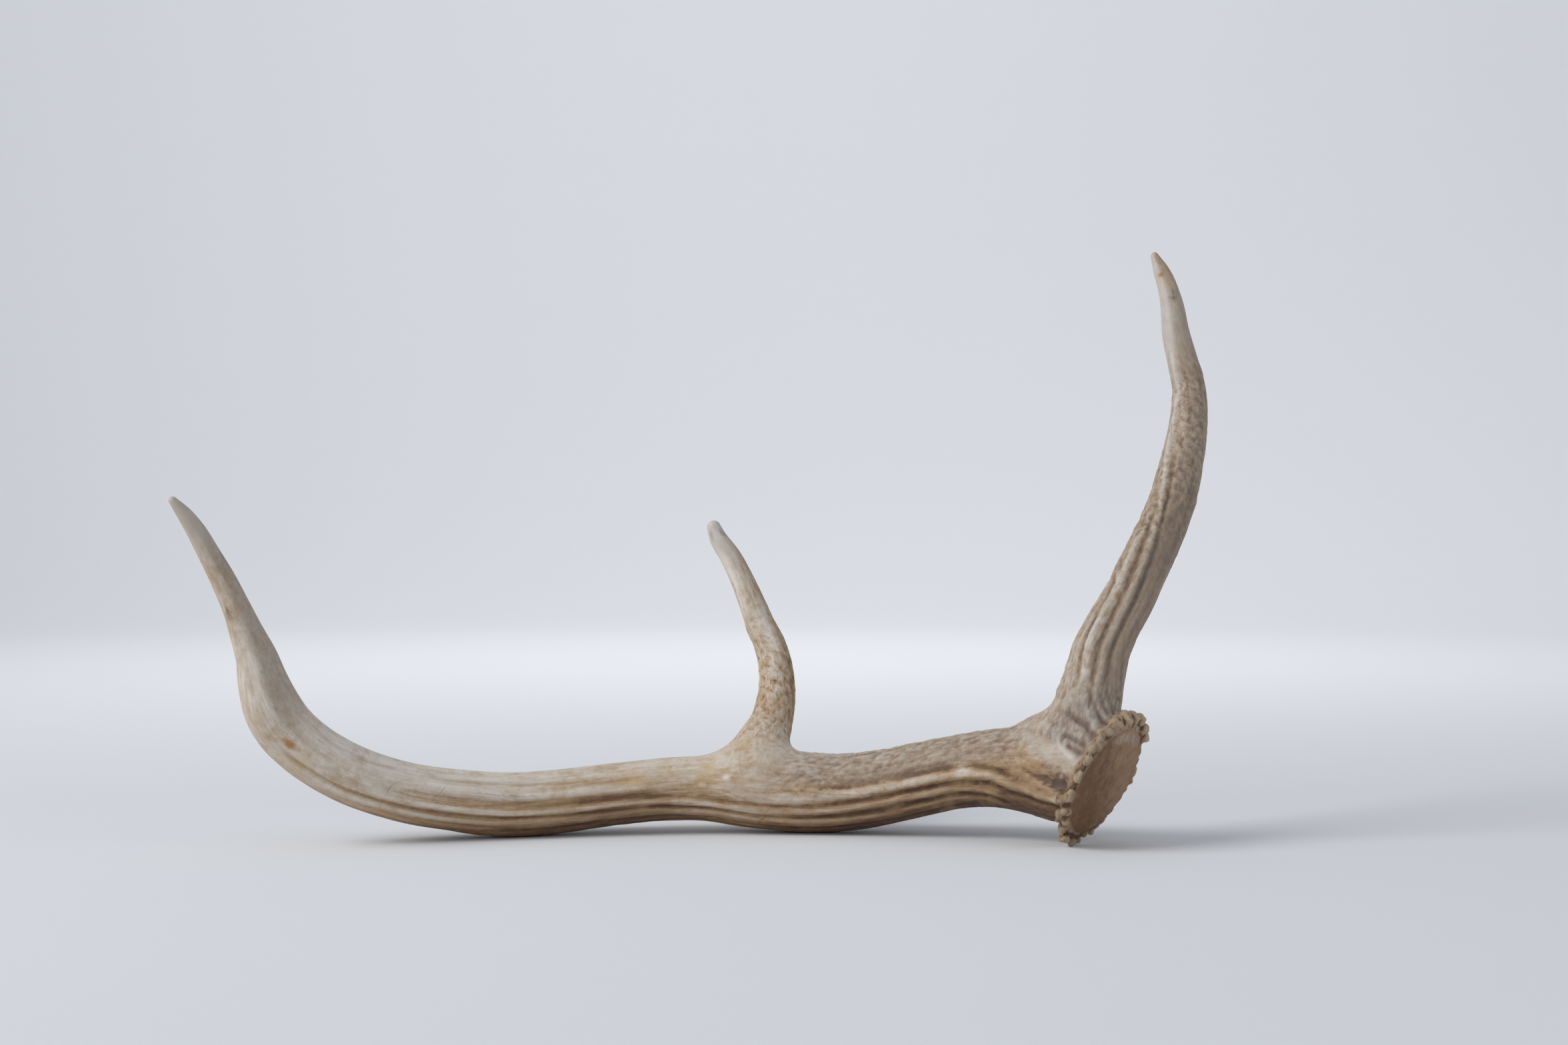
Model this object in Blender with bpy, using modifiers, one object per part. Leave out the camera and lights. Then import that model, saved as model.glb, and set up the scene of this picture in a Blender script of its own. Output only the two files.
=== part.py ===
"""Shed antler of a young red deer: main beam with its burr, brow tine and middle tine.

It stands as it was found, tines up, on the rim of its burr and the belly of its beam.
+X runs from the tip of the beam towards the burr, +Y away from the viewer, +Z up.
Centre lines and relief are given in millimetres; Blender's own units are metres.
"""

import math
import random

import bmesh
import bpy
import numpy as np
from mathutils import Matrix, Vector

MM = 0.001

# Centre lines from tip to base: x, y, z and half the thickness across the view, millimetres.
BEAM_LINE = (
    (-203.7, -55.0, 135.2, 1.6), (-199.8, -53.0, 130.0, 2.9), (-196.5, -51.0, 124.6, 3.6),
    (-191.8, -47.5, 114.7, 4.2), (-187.4, -44.0, 104.8, 4.8), (-183.2, -40.5, 93.9, 5.4),
    (-180.1, -37.5, 84.3, 6.5), (-177.0, -34.5, 74.4, 8.1), (-175.0, -32.0, 64.5, 9.8),
    (-172.3, -29.5, 55.2, 11.2), (-168.4, -27.0, 47.5, 11.6), (-162.0, -24.5, 40.2, 11.7),
    (-145.4, -19.0, 28.4, 11.9), (-132.2, -14.0, 22.6, 12.0), (-118.0, -8.5, 18.3, 12.4),
    (-99.4, -2.0, 14.7, 12.8), (-82.6, 3.0, 13.1, 13.0), (-63.8, 8.0, 13.8, 13.0),
    (-43.0, 11.8, 15.9, 12.8), (-21.4, 14.4, 18.0, 12.8), (-5.1, 15.4, 18.4, 13.5),
    (11.2, 15.7, 17.5, 15.0), (33.0, 15.4, 16.5, 16.3), (49.4, 14.0, 16.6, 15.8),
    (65.6, 11.0, 18.8, 15.4), (81.6, 7.0, 22.6, 15.1), (97.4, 2.5, 26.4, 14.9),
    (111.7, -2.5, 28.5, 15.7), (124.4, -8.5, 28.5, 17.3), (134.0, -14.0, 28.3, 19.4),
)
BROW_LINE = (
    (184.6, 54.0, 240.6, 1.5), (186.5, 53.4, 236.0, 2.7), (188.5, 52.8, 231.1, 3.6),
    (190.2, 51.8, 225.3, 4.3), (191.4, 50.6, 219.2, 4.9), (192.6, 48.2, 207.1, 5.8),
    (195.0, 45.3, 194.8, 6.4), (197.0, 41.7, 182.5, 7.0), (196.5, 38.6, 174.0, 7.6),
    (195.4, 35.5, 166.5, 8.1), (193.3, 31.2, 157.7, 8.7), (190.0, 25.6, 147.0, 9.3),
    (186.1, 19.5, 136.2, 9.8), (179.4, 12.0, 122.3, 10.0), (171.9, 4.5, 109.1, 10.4),
    (164.5, -3.0, 95.9, 10.7), (157.4, -7.8, 85.0, 11.0), (152.1, -11.2, 75.1, 11.5),
    (149.6, -13.8, 66.5, 12.1), (147.2, -16.0, 57.5, 13.2), (144.0, -19.0, 46.0, 14.5),
)
MIDDLE_LINE = (
    (-3.4, 52.8, 124.8, 3.0), (-1.9, 52.5, 121.0, 3.7), (3.5, 52.1, 112.7, 4.5),
    (8.6, 51.8, 102.8, 5.0), (12.6, 51.0, 93.5, 5.6), (16.3, 50.0, 84.1, 6.2),
    (21.1, 48.0, 73.5, 6.9), (23.1, 45.5, 64.3, 7.5), (23.4, 42.0, 55.0, 8.0),
    (22.6, 38.5, 48.5, 8.5), (20.8, 34.0, 42.0, 9.2), (17.4, 27.5, 34.5, 11.2),
    (14.0, 19.0, 24.0, 14.0),
)
# Depth of each section, front to back, against its width across the view.
BEAM_ROUNDNESS = 0.97
BROW_ROUNDNESS = 0.94
MIDDLE_ROUNDNESS = 1.0

# Pedicle seal, where the antler grew from the skull: its middle, its outward axis and size.
SEAL_CENTRE = (152.7, -27.2, 25.8)
SEAL_AXIS = (0.738, -0.529, -0.419)
SEAL_RADIUS = 25.5
# How far behind the top of the seal's swell it is cut flat.
SEAL_FLAT = 0.35
# The stem behind the seal: how far behind it, and half the thickness there.
STEM = ((-3.0, 22.0), (6.0, 21.5), (14.0, 20.0), (22.0, 17.0), (30.0, 13.0))
# The burr's rim under its knobs: angle from its top, negative towards the viewer, and reach.
BURR_RIM = ((-180, 25.0), (-140, 24.2), (-90, 23.8), (-40, 23.6), (0, 24.3), (38, 25.2), (52, 24.6),
            (66, 23.2), (80, 24.1), (92, 24.4), (102, 23.9), (112, 23.6), (121, 23.3), (131, 24.4),
            (141, 25.4), (152, 25.9), (164, 25.8), (180, 25.2))
BURR_THICKNESS = 6.0
BURR_EDGE = 2.4
# Its knobs towards the viewer: distance behind the seal, reach, angle from the top and radius.
FRONT_KNOBS = (
    (3.6, 25.8, -36, 1.9), (2.0, 25.6, -31, 2.0), (1.9, 24.8, -41, 1.7), (4.0, 24.9, -10, 2.6),
    (2.6, 24.9, -16, 2.7), (2.4, 24.2, -24, 2.0), (4.6, 26.0, 5, 2.7), (2.8, 26.5, 14, 2.9),
    (2.2, 25.0, 2, 2.6), (2.3, 27.7, 26, 2.6), (1.9, 26.9, 38, 2.3), (1.7, 26.1, 50, 2.0),
    (4.6, 25.2, 30, 2.4), (1.7, 25.4, -54, 1.7), (1.5, 24.4, -48, 1.5), (1.8, 25.3, -62, 1.4),
    (1.6, 25.0, -67, 1.3), (1.7, 25.1, -77, 1.3), (1.8, 25.3, -83, 1.5), (1.7, 25.1, -96, 1.6),
    (4.9, 25.5, -107, 2.2), (2.2, 25.3, -102, 2.0), (1.9, 25.2, -117, 1.9), (4.4, 25.4, -124, 1.9),
    (1.8, 25.4, -129, 1.8), (5.2, 25.2, -133, 1.5), (3.4, 25.5, -143, 2.1), (3.4, 27.3, -158, 2.3),
    (2.0, 27.4, -167, 2.0), (1.7, 26.8, -176, 1.7), (4.6, 26.6, -171, 2.1),
)
# Its knobs on the far side follow the rim: how many, between which angles, and their radius.
FAR_KNOBS = {"count": 11, "from": 58.0, "to": 176.0, "radius": 1.6, "seed": 8}
# The stem's own relief holds up to this distance from the seal's middle, then gives way.
STEM_REACH = 44.0
STEM_FADE = 12.0

# How softly one limb flows into the next, millimetres.
STEM_BLEND = 6.0
BROW_BLEND = 8.0
MIDDLE_BLEND = 11.0
KNOB_BLEND = 1.6

# Cuts at the two forks: a point on the cut and the direction of the tine that leaves it.
BROW_CUT = ((147.5, -16.0, 60.0), (0.20, 0.26, 0.945))
MIDDLE_CUT = ((18.0, 28.5, 36.0), (0.04, 0.55, 0.83))
CUT_GAP = 0.3

# Long ridges (+) and furrows (-) on the beam: height, half-width, then places along the beam from
# its tip with the angle round it from the viewer's side, positive towards the ground.
BEAM_RIDGES = (
    (0.55, 1.5, ((120, 30), (160, 28), (200, 25), (225, 28), (250, 31), (275, 37), (300, 40),
                 (320, 38), (350, 36), (380, 34), (395, 42), (405, 54))),
    (-0.80, 1.5, ((105, 24), (150, 19), (180, 19), (210, 17), (240, 22), (265, 28), (280, 31),
                  (300, 34), (330, 30), (360, 26), (385, 28), (400, 40), (410, 54))),
    (0.70, 1.5, ((140, 4), (165, 6), (185, 7), (205, 9), (225, 12), (245, 11), (260, 15), (275, 22),
                 (300, 27), (320, 22), (340, 17), (360, 14), (380, 16), (395, 24), (405, 36))),
    (-0.60, 1.6, ((150, -3), (180, -1), (205, 0), (230, 2), (255, 5), (275, 12), (300, 16),
                  (320, 12), (345, 7), (370, 6), (385, 8), (400, 16), (410, 28))),
    (0.90, 2.0, ((300, 8), (318, 4), (335, -3), (350, -7), (375, -6), (390, -2), (400, 4),
                 (408, 13), (416, 26))),
    (0.50, 1.6, ((160, -34), (185, -28), (200, -25), (215, -20), (235, -16), (255, -11))),
    (-0.55, 1.8, ((150, -12), (180, -14), (205, -12), (230, -7), (250, -3))),
    (-0.50, 1.8, ((110, -56), (150, -51), (180, -48), (205, -46), (225, -40), (250, -34))),
    (-0.70, 1.8, ((330, -16), (350, -19), (375, -18), (390, -14), (402, -6), (412, 6))),
    (-0.80, 1.8, ((190, 48), (225, 50), (255, 54), (280, 58), (310, 60), (350, 56), (390, 58))),
)
BROW_RIDGES = (
    (0.70, 1.5, ((90, 55), (105, 49), (120, 40), (130, 30), (140, 21), (150, 15), (160, 14),
                 (170, 10), (180, 6), (192, 2), (204, 0), (214, -4))),
    (-0.70, 1.4, ((100, 36), (115, 28), (130, 18), (140, 8), (150, 2), (165, -2), (180, -8),
                  (195, -12), (210, -18))),
    (-0.75, 1.3, ((130, 46), (142, 38), (152, 32), (165, 27), (178, 22), (190, 17), (202, 13),
                  (214, 6))),
    (0.75, 1.4, ((140, 58), (155, 52), (170, 47), (182, 43), (192, 38), (202, 30), (210, 20))),
    (-0.70, 1.3, ((165, 64), (178, 58), (190, 53), (200, 46), (210, 34))),
    (0.55, 1.4, ((120, -22), (140, -24), (160, -22), (180, -26), (200, -32))),
    (-0.60, 1.5, ((110, -36), (135, -40), (160, -38), (185, -42), (205, -48))),
)
# The same on the stem: places are the distance behind the seal and the angle round its axis from
# the top, negative towards the viewer.
STEM_RIDGES = (
    (0.90, 1.8, ((2, -76), (8, -71), (14, -66), (19, -60), (23, -53), (30, -44))),
    (-0.80, 1.8, ((2, -93), (6, -97), (12, -103), (20, -109), (30, -113))),
    (0.90, 1.8, ((2, -112), (8, -120), (14, -124), (22, -128), (32, -132), (40, -137))),
    (-0.80, 1.6, ((4, -128), (12, -133), (22, -137), (36, -142))),
    (-0.70, 1.5, ((2, -14), (10, -14), (18, -10), (26, -5))),
    (0.60, 1.4, ((2, -22), (10, -22), (18, -20), (26, -15))),
    (-0.70, 1.5, ((2, -32), (8, -32), (16, -31), (24, -27))),
    (-0.70, 1.6, ((2, -50), (8, -50), (14, -50), (20, -50))),
    (-0.60, 2.0, ((3, 20), (10, 24), (18, 30), (28, 38))),
    (0.70, 2.0, ((3, 55), (10, 58), (18, 64), (28, 74))),
    (-0.80, 2.0, ((3, 85), (10, 90), (18, 96), (28, 104))),
    (0.70, 2.2, ((3, 118), (10, 122), (18, 128), (28, 136))),
    (-0.80, 2.0, ((3, 150), (10, 156), (18, 162), (28, 168))),
)
# The sides that face away from the viewer: flutes laid out by rule.
BEAM_FLUTES = {"count": 13, "height": 0.55, "from": 60.0, "to": 400.0, "seed": 3}
BROW_FLUTES = {"count": 10, "height": 0.50, "from": 70.0, "to": 215.0, "seed": 5}
MIDDLE_FLUTES = {"count": 8, "height": 0.30, "from": 15.0, "to": 105.0, "seed": 7}
# Pearls and pits: how many, where along the limb, the angles they lie between, radius and height.
BEAM_PEARLS = {"count": 60, "from": 280.0, "to": 408.0, "angles": (-150, 0), "radius": 1.7,
               "height": 0.5, "seed": 11}
BROW_PEARLS = {"count": 80, "from": 50.0, "to": 214.0, "angles": (-180, 180), "radius": 1.5,
               "height": 0.5, "seed": 13}
MIDDLE_PEARLS = {"count": 36, "from": 45.0, "to": 112.0, "angles": (-180, 180), "radius": 1.6,
                 "height": 0.35, "seed": 17}
STEM_PEARLS = {"count": 34, "from": 5.0, "to": 28.0, "angles": (-60, 60), "radius": 1.4,
               "height": 0.5, "seed": 19}

# The plain blank is this much larger round the burr than the knobs, so that they all lie inside.
BLANK_SPARE = 5.0
BLANK_VOXEL = 1.25
SKIN_VOXEL = 0.9
CAD_TRIANGLES = 8600

BONE_COLOUR = (0.40, 0.32, 0.25)
BROW_COLOUR = (0.47, 0.40, 0.34)
MIDDLE_COLOUR = (0.45, 0.38, 0.31)
BONE_ROUGHNESS = 0.6

# The point on the ground, below the middle of the antler, that the finished part has as origin.
ORIGIN = (-0.5, 0.2, 0.4)


def unit(vectors):
    """Vectors of length one, from one vector or from rows of them."""
    vectors = np.asarray(vectors, dtype=float)
    return vectors / np.maximum(np.linalg.norm(vectors, axis=-1, keepdims=True), 1e-9)


def running_length(rows):
    """Distance along a chain of points, from the first one."""
    steps = np.linalg.norm(np.diff(rows[:, :3], axis=0), axis=1)
    return np.concatenate(([0.0], np.cumsum(steps)))


def smooth_rows(stations, step=1.0):
    """Even rows along a smooth curve through hand-placed stations, and how far along each is."""
    rows = np.array(stations, dtype=float)
    chord = running_length(rows)
    slope = np.gradient(rows, chord, axis=0)
    fine = np.linspace(0.0, chord[-1], int(chord[-1] * 8))
    left = np.clip(np.searchsorted(chord, fine, side="right") - 1, 0, len(chord) - 2)
    span = (chord[left + 1] - chord[left])[:, None]
    t = (fine - chord[left])[:, None] / span
    curve = (2 * t ** 3 - 3 * t ** 2 + 1) * rows[left]
    curve += (t ** 3 - 2 * t ** 2 + t) * span * slope[left]
    curve += (3 * t ** 2 - 2 * t ** 3) * rows[left + 1]
    curve += (t ** 3 - t ** 2) * span * slope[left + 1]
    length = running_length(curve)
    even = np.linspace(0.0, length[-1], int(round(length[-1] / step)) + 1)
    return even, np.stack([np.interp(even, length, column) for column in curve.T], axis=1)


def placed(points):
    """Points measured from the part's origin."""
    return np.array(points, dtype=float) - ORIGIN


class Limb:
    """A tapering limb: a centre line with an oval section that is turned to face the viewer."""

    def __init__(self, stations, roundness):
        self.at, rows = smooth_rows(stations)
        self.centre = placed(rows[:, :3])
        self.wide = rows[:, 3]
        self.deep = rows[:, 3] * roundness
        self.along = unit(np.gradient(self.centre, self.at, axis=0))
        viewer = np.array((0.0, -1.0, 0.0))
        self.front = unit(viewer - (self.along @ viewer)[:, None] * self.along)
        self.side = np.cross(self.along, self.front)

    def nearest_row(self, points, chunk=20000):
        """Index of the centre-line row that lies nearest to each point."""
        size = (self.centre ** 2).sum(axis=1)
        found = [np.argmin(size - 2.0 * (points[i:i + chunk] @ self.centre.T), axis=1)
                 for i in range(0, len(points), chunk)]
        return np.concatenate(found)

    def locate(self, points):
        """Place along the limb, angle round it, gap to its skin, way out and local radius."""
        row = self.nearest_row(points)
        offset = points - self.centre[row]
        slip = (offset * self.along[row]).sum(axis=1)
        at = np.clip(self.at[row] + slip, 0.0, self.at[-1])
        centre = np.stack([np.interp(at, self.at, column) for column in self.centre.T], axis=1)
        offset = points - centre
        reach = np.linalg.norm(offset, axis=1)
        to_side = (offset * self.side[row]).sum(axis=1)
        to_front = (offset * self.front[row]).sum(axis=1)
        angle = np.arctan2(to_side, to_front)
        wide = np.interp(at, self.at, self.wide)
        deep = np.interp(at, self.at, self.deep)
        radius = 1.0 / np.sqrt((np.cos(angle) / deep) ** 2 + (np.sin(angle) / wide) ** 2)
        return {"at": at, "angle": np.degrees(angle), "gap": reach - radius,
                "out": offset / np.maximum(reach, 1e-6)[:, None], "radius": radius}


def blend(first, second, softness):
    """Union of two skins with a soft web between them; each is (gap, way out, share list)."""
    gap_a, out_a, share_a = first
    gap_b, out_b, share_b = second
    keep = np.clip(0.5 + 0.5 * (gap_b - gap_a) / softness, 0.0, 1.0)
    gap = gap_b * (1.0 - keep) + gap_a * keep - softness * keep * (1.0 - keep)
    out = out_b * (1.0 - keep)[:, None] + out_a * keep[:, None]
    shares = [share * keep for share in share_a] + [share * (1.0 - keep) for share in share_b]
    return gap, out, shares


class Burr:
    """The knobbed ring round the pedicle seal."""

    def __init__(self):
        self.centre = placed(SEAL_CENTRE)
        self.axis = unit(SEAL_AXIS)
        up = np.array((0.0, 0.0, 1.0))
        self.across = unit(np.cross(up, self.axis))
        self.rise = np.cross(self.axis, self.across)
        self.knobs = self.place_knobs()

    def point(self, behind, reach, angle):
        """A point by its distance behind the seal, reach from its axis and angle from its top."""
        turn = math.radians(angle)
        radial = math.cos(turn) * self.rise + math.sin(turn) * self.across
        return self.centre - behind * self.axis + reach * radial

    def place(self, points):
        """Distance behind the seal, angle from its top and reach from its axis."""
        offset = points - self.centre
        behind = -(offset @ self.axis)
        rise = offset @ self.rise
        across = offset @ self.across
        return {"at": behind, "angle": np.degrees(np.arctan2(across, rise)),
                "radius": np.hypot(rise, across)}

    def place_knobs(self):
        """The knobs towards the viewer as listed, and the far ones spread along the rim."""
        knobs = [(self.point(behind, reach, angle), radius)
                 for behind, reach, angle, radius in FRONT_KNOBS]
        dice = random.Random(FAR_KNOBS["seed"])
        step = (FAR_KNOBS["to"] - FAR_KNOBS["from"]) / FAR_KNOBS["count"]
        for index in range(FAR_KNOBS["count"]):
            angle = FAR_KNOBS["from"] + step * (index + dice.uniform(0.2, 0.8))
            radius = FAR_KNOBS["radius"] * dice.uniform(0.75, 1.25)
            reach = self.rim(angle) - radius * 0.4
            knobs.append((self.point(radius + dice.uniform(0.2, 1.6), reach, angle), radius))
            knobs.append((self.point(radius + 3.2, reach - 0.4, angle + step * 0.5), radius))
        return knobs

    def rim(self, angle):
        """Reach of the plain rim at an angle from the top."""
        return np.interp(angle, [row[0] for row in BURR_RIM], [row[1] for row in BURR_RIM])

    def disc(self, points):
        """Gap and way out for the plain disc that carries the knobs."""
        place = self.place(points)
        behind = place["at"]
        radial = points - self.centre + behind[:, None] * self.axis
        half = BURR_THICKNESS * 0.5
        past_rim = place["radius"] - (self.rim(place["angle"]) - BURR_EDGE)
        past_face = np.abs(behind - half) - (half - BURR_EDGE)
        corner = np.hypot(np.maximum(past_rim, 0.0), np.maximum(past_face, 0.0))
        gap = np.minimum(np.maximum(past_rim, past_face), 0.0) + corner - BURR_EDGE
        facing = np.sign(behind - half)[:, None] * -self.axis
        mixed = np.maximum(past_rim, 0.0)[:, None] * unit(radial)
        mixed = mixed + np.maximum(past_face, 0.0)[:, None] * facing
        inside = np.where((past_rim > past_face)[:, None], unit(radial), facing)
        out = np.where((corner > 1e-6)[:, None], unit(mixed), inside)
        return gap, out

    def skin(self, points):
        """Gap and way out for the disc with its knobs."""
        skin = (*self.disc(points), [])
        for centre, radius in self.knobs:
            offset = points - centre
            reach = np.linalg.norm(offset, axis=1)
            knob = (reach - radius, offset / np.maximum(reach, 1e-6)[:, None], [])
            skin = blend(skin, knob, KNOB_BLEND)
        return skin[0], skin[1]


def path_relief(ridges, place):
    """Height that long ridges and furrows add at each place on a limb."""
    height = np.zeros(len(place["at"]))
    for rise, half_width, path in ridges:
        ats = [point[0] for point in path]
        middle = np.interp(place["at"], ats, [point[1] for point in path])
        off = np.radians((place["angle"] - middle + 180.0) % 360.0 - 180.0) * place["radius"]
        inside = np.clip((place["at"] - ats[0]) / 12.0 + 0.5, 0.0, 1.0)
        inside = inside * np.clip((ats[-1] - place["at"]) / 8.0 + 0.5, 0.0, 1.0)
        height += rise * inside * np.exp(-0.5 * (off / half_width) ** 2)
    return height


def flute_relief(flutes, place, visible_share):
    """Meandering flutes round a limb, fuller on the sides that face away from the viewer."""
    dice = random.Random(flutes["seed"])
    height = np.zeros(len(place["at"]))
    strength = np.clip((place["at"] - flutes["from"]) / 60.0, 0.0, 1.0)
    strength = strength * np.clip((flutes["to"] - place["at"]) / 15.0, 0.0, 1.0)
    away = np.clip((np.abs(place["angle"]) - 45.0) / 30.0, visible_share, 1.0)
    for index in range(flutes["count"]):
        home = 360.0 * index / flutes["count"] + dice.uniform(-7.0, 7.0)
        sway = [(dice.uniform(3.0, 8.0), dice.uniform(60.0, 140.0), dice.uniform(0.0, 6.28))
                for _ in range(2)]
        middle = home + sum(reach * np.sin(place["at"] / pitch * 6.28 + phase)
                            for reach, pitch, phase in sway)
        off = np.radians((place["angle"] - middle + 180.0) % 360.0 - 180.0) * place["radius"]
        depth = flutes["height"] * dice.uniform(0.6, 1.3)
        height -= depth * strength * away * np.exp(-0.5 * (off / 1.5) ** 2)
    return height


def pearl_relief(pearls, place):
    """Scattered pearls and pits on a limb."""
    dice = random.Random(pearls["seed"])
    height = np.zeros(len(place["at"]))
    low, high = pearls["angles"]
    for _ in range(pearls["count"]):
        at = dice.uniform(pearls["from"], pearls["to"])
        angle = dice.uniform(low, high)
        radius = pearls["radius"] * dice.uniform(0.7, 1.3)
        rise = pearls["height"] * dice.choice((1.0, 0.8, -1.2))
        off = np.radians((place["angle"] - angle + 180.0) % 360.0 - 180.0) * place["radius"]
        size = ((place["at"] - at) / (radius * 1.3)) ** 2 + (off / radius) ** 2
        height += rise * np.exp(-0.7 * size)
    return height


class Antler:
    """The whole skin: limbs, stem and burr blended into one growth, with its relief."""

    def __init__(self):
        self.beam = Limb(BEAM_LINE, BEAM_ROUNDNESS)
        self.brow = Limb(BROW_LINE, BROW_ROUNDNESS)
        self.middle = Limb(MIDDLE_LINE, MIDDLE_ROUNDNESS)
        self.burr = Burr()
        stem = [(*(self.burr.centre - behind * self.burr.axis), half) for behind, half in STEM]
        self.stem = Limb(stem, 1.0)

    def skin(self, points):
        """Gap to the blended skin, the way out of it, and each limb's place and share."""
        places = [limb.locate(points) for limb in (self.stem, self.beam, self.brow, self.middle)]
        parts = [(place["gap"], place["out"], [np.ones(len(points))]) for place in places]
        whole = blend(parts[0], parts[1], STEM_BLEND)
        whole = blend(whole, parts[2], BROW_BLEND)
        whole = blend(whole, parts[3], MIDDLE_BLEND)
        gap, out, shares = whole
        near = np.linalg.norm(points - self.burr.centre, axis=1) < SEAL_RADIUS * 1.8
        if near.any():
            burr_gap, burr_out = self.burr.skin(points[near])
            joined = blend((gap[near], out[near], []), (burr_gap, burr_out, []), KNOB_BLEND)
            gap[near] = joined[0]
            out[near] = joined[1]
        return gap, out, places, shares

    def relief(self, points):
        """Height of ridges, furrows, flutes, pearls and pits at points on the skin."""
        _, _, places, shares = self.skin(points)
        _, beam, brow, middle = places
        stem = self.burr.place(points)
        rows = (
            (shares[0] + shares[1], path_relief(BEAM_RIDGES, beam)
             + flute_relief(BEAM_FLUTES, beam, 0.25) + pearl_relief(BEAM_PEARLS, beam)),
            (shares[2], path_relief(BROW_RIDGES, brow) + flute_relief(BROW_FLUTES, brow, 0.25)
             + pearl_relief(BROW_PEARLS, brow)),
            (shares[3], flute_relief(MIDDLE_FLUTES, middle, 0.5)
             + pearl_relief(MIDDLE_PEARLS, middle)),
        )
        limbs = sum(np.clip(share * 1.6 - 0.6, 0.0, 1.0) * height for share, height in rows)
        near = np.hypot(stem["at"], stem["radius"])
        near_seal = np.clip((STEM_REACH - near) / STEM_FADE, 0.0, 1.0)
        base = path_relief(STEM_RIDGES, stem) + pearl_relief(STEM_PEARLS, stem)
        height = near_seal * base + (1.0 - near_seal) * limbs
        return height * np.clip((stem["at"] - 4.5) / 3.0, 0.0, 1.0)

    def settle(self, points, rounds=4):
        """Points moved onto the blended skin."""
        for _ in range(rounds):
            gap, out, _, _ = self.skin(points)
            steep = np.maximum((out ** 2).sum(axis=1), 0.25)
            points = points - (np.clip(gap, -3.0, 3.0) / steep)[:, None] * out
        return points


def add_object(name, mesh, collection):
    """Link a mesh as a named object."""
    body = bpy.data.objects.new(name, mesh)
    collection.objects.link(body)
    return body


def evaluated_mesh(body):
    """The mesh that an object's modifiers make."""
    graph = bpy.context.evaluated_depsgraph_get()
    graph.update()
    return bpy.data.meshes.new_from_object(body.evaluated_get(graph))


def tube_mesh(name, limb, collection, step=4):
    """A plain tapering tube along a limb, from a bevelled curve."""
    curve = bpy.data.curves.new(name, "CURVE")
    curve.dimensions = "3D"
    curve.bevel_depth = MM
    curve.bevel_resolution = 3
    curve.use_fill_caps = True
    tip = limb.centre[0] - limb.along[0] * limb.wide[0]
    stops = [(tip, limb.wide[0] * 0.7)]
    stops += [(limb.centre[row], limb.wide[row]) for row in range(0, len(limb.at), step)]
    spline = curve.splines.new("POLY")
    spline.points.add(len(stops) - 1)
    for point, (place, half_width) in zip(spline.points, stops):
        point.co = (*(place * MM), 1.0)
        point.radius = half_width
    guide = bpy.data.objects.new(name, curve)
    collection.objects.link(guide)
    mesh = evaluated_mesh(guide)
    bpy.data.objects.remove(guide)
    return mesh


def joined_blank(antler, collection):
    """Plain tubes for the limbs and a disc for the burr, joined into one closed skin."""
    sketch = bmesh.new()
    limbs = {"beam": antler.beam, "brow": antler.brow, "middle": antler.middle, "stem": antler.stem}
    for name, limb in limbs.items():
        sketch.from_mesh(tube_mesh(name, limb, collection))
    turn = Vector(antler.burr.axis).to_track_quat("Z", "Y").to_matrix().to_4x4()
    middle = antler.burr.point(BURR_THICKNESS * 0.5, 0.0, 0.0) * MM
    size = (SEAL_RADIUS + BLANK_SPARE) * MM
    bmesh.ops.create_cone(sketch, cap_ends=True, segments=48, radius1=size, radius2=size,
                          depth=(BURR_THICKNESS + BLANK_SPARE) * MM,
                          matrix=Matrix.Translation(middle) @ turn)
    bmesh.ops.remove_doubles(sketch, verts=sketch.verts, dist=0.00001)
    bmesh.ops.recalc_face_normals(sketch, faces=sketch.faces)
    mesh = bpy.data.meshes.new("antler_blank")
    sketch.to_mesh(mesh)
    sketch.free()
    return one_skin(mesh, BLANK_VOXEL, collection)


def one_skin(mesh, voxel, collection):
    """A mesh rebuilt as one closed skin of even small faces."""
    body = add_object("antler_skin", mesh, collection)
    remesh = body.modifiers.new("one_skin", "REMESH")
    remesh.mode = "VOXEL"
    remesh.voxel_size = voxel * MM
    result = evaluated_mesh(body)
    bpy.data.objects.remove(body)
    return result


def read_points(mesh):
    """A mesh's points in millimetres."""
    flat = np.empty(len(mesh.vertices) * 3)
    mesh.vertices.foreach_get("co", flat)
    return flat.reshape(-1, 3) / MM


def write_points(mesh, points):
    """Put points in millimetres back into a mesh."""
    mesh.vertices.foreach_set("co", (points * MM).ravel())
    mesh.update()


def read_normals(mesh):
    """A mesh's point normals."""
    flat = np.empty(len(mesh.vertices) * 3)
    mesh.vertices.foreach_get("normal", flat)
    return flat.reshape(-1, 3)


def relax(mesh, rounds=3):
    """Even out the spacing of a mesh's points."""
    sketch = bmesh.new()
    sketch.from_mesh(mesh)
    for _ in range(rounds):
        bmesh.ops.smooth_vert(sketch, verts=sketch.verts, factor=0.5,
                              use_axis_x=True, use_axis_y=True, use_axis_z=True)
    sketch.to_mesh(mesh)
    sketch.free()


def grown_skin(antler, collection):
    """The antler as one closed, detailed skin."""
    mesh = joined_blank(antler, collection)
    write_points(mesh, antler.settle(read_points(mesh)))
    relax(mesh)
    write_points(mesh, antler.settle(read_points(mesh), rounds=3))
    points = read_points(mesh)
    write_points(mesh, points + antler.relief(points)[:, None] * read_normals(mesh))
    return one_skin(mesh, SKIN_VOXEL, collection)


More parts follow.
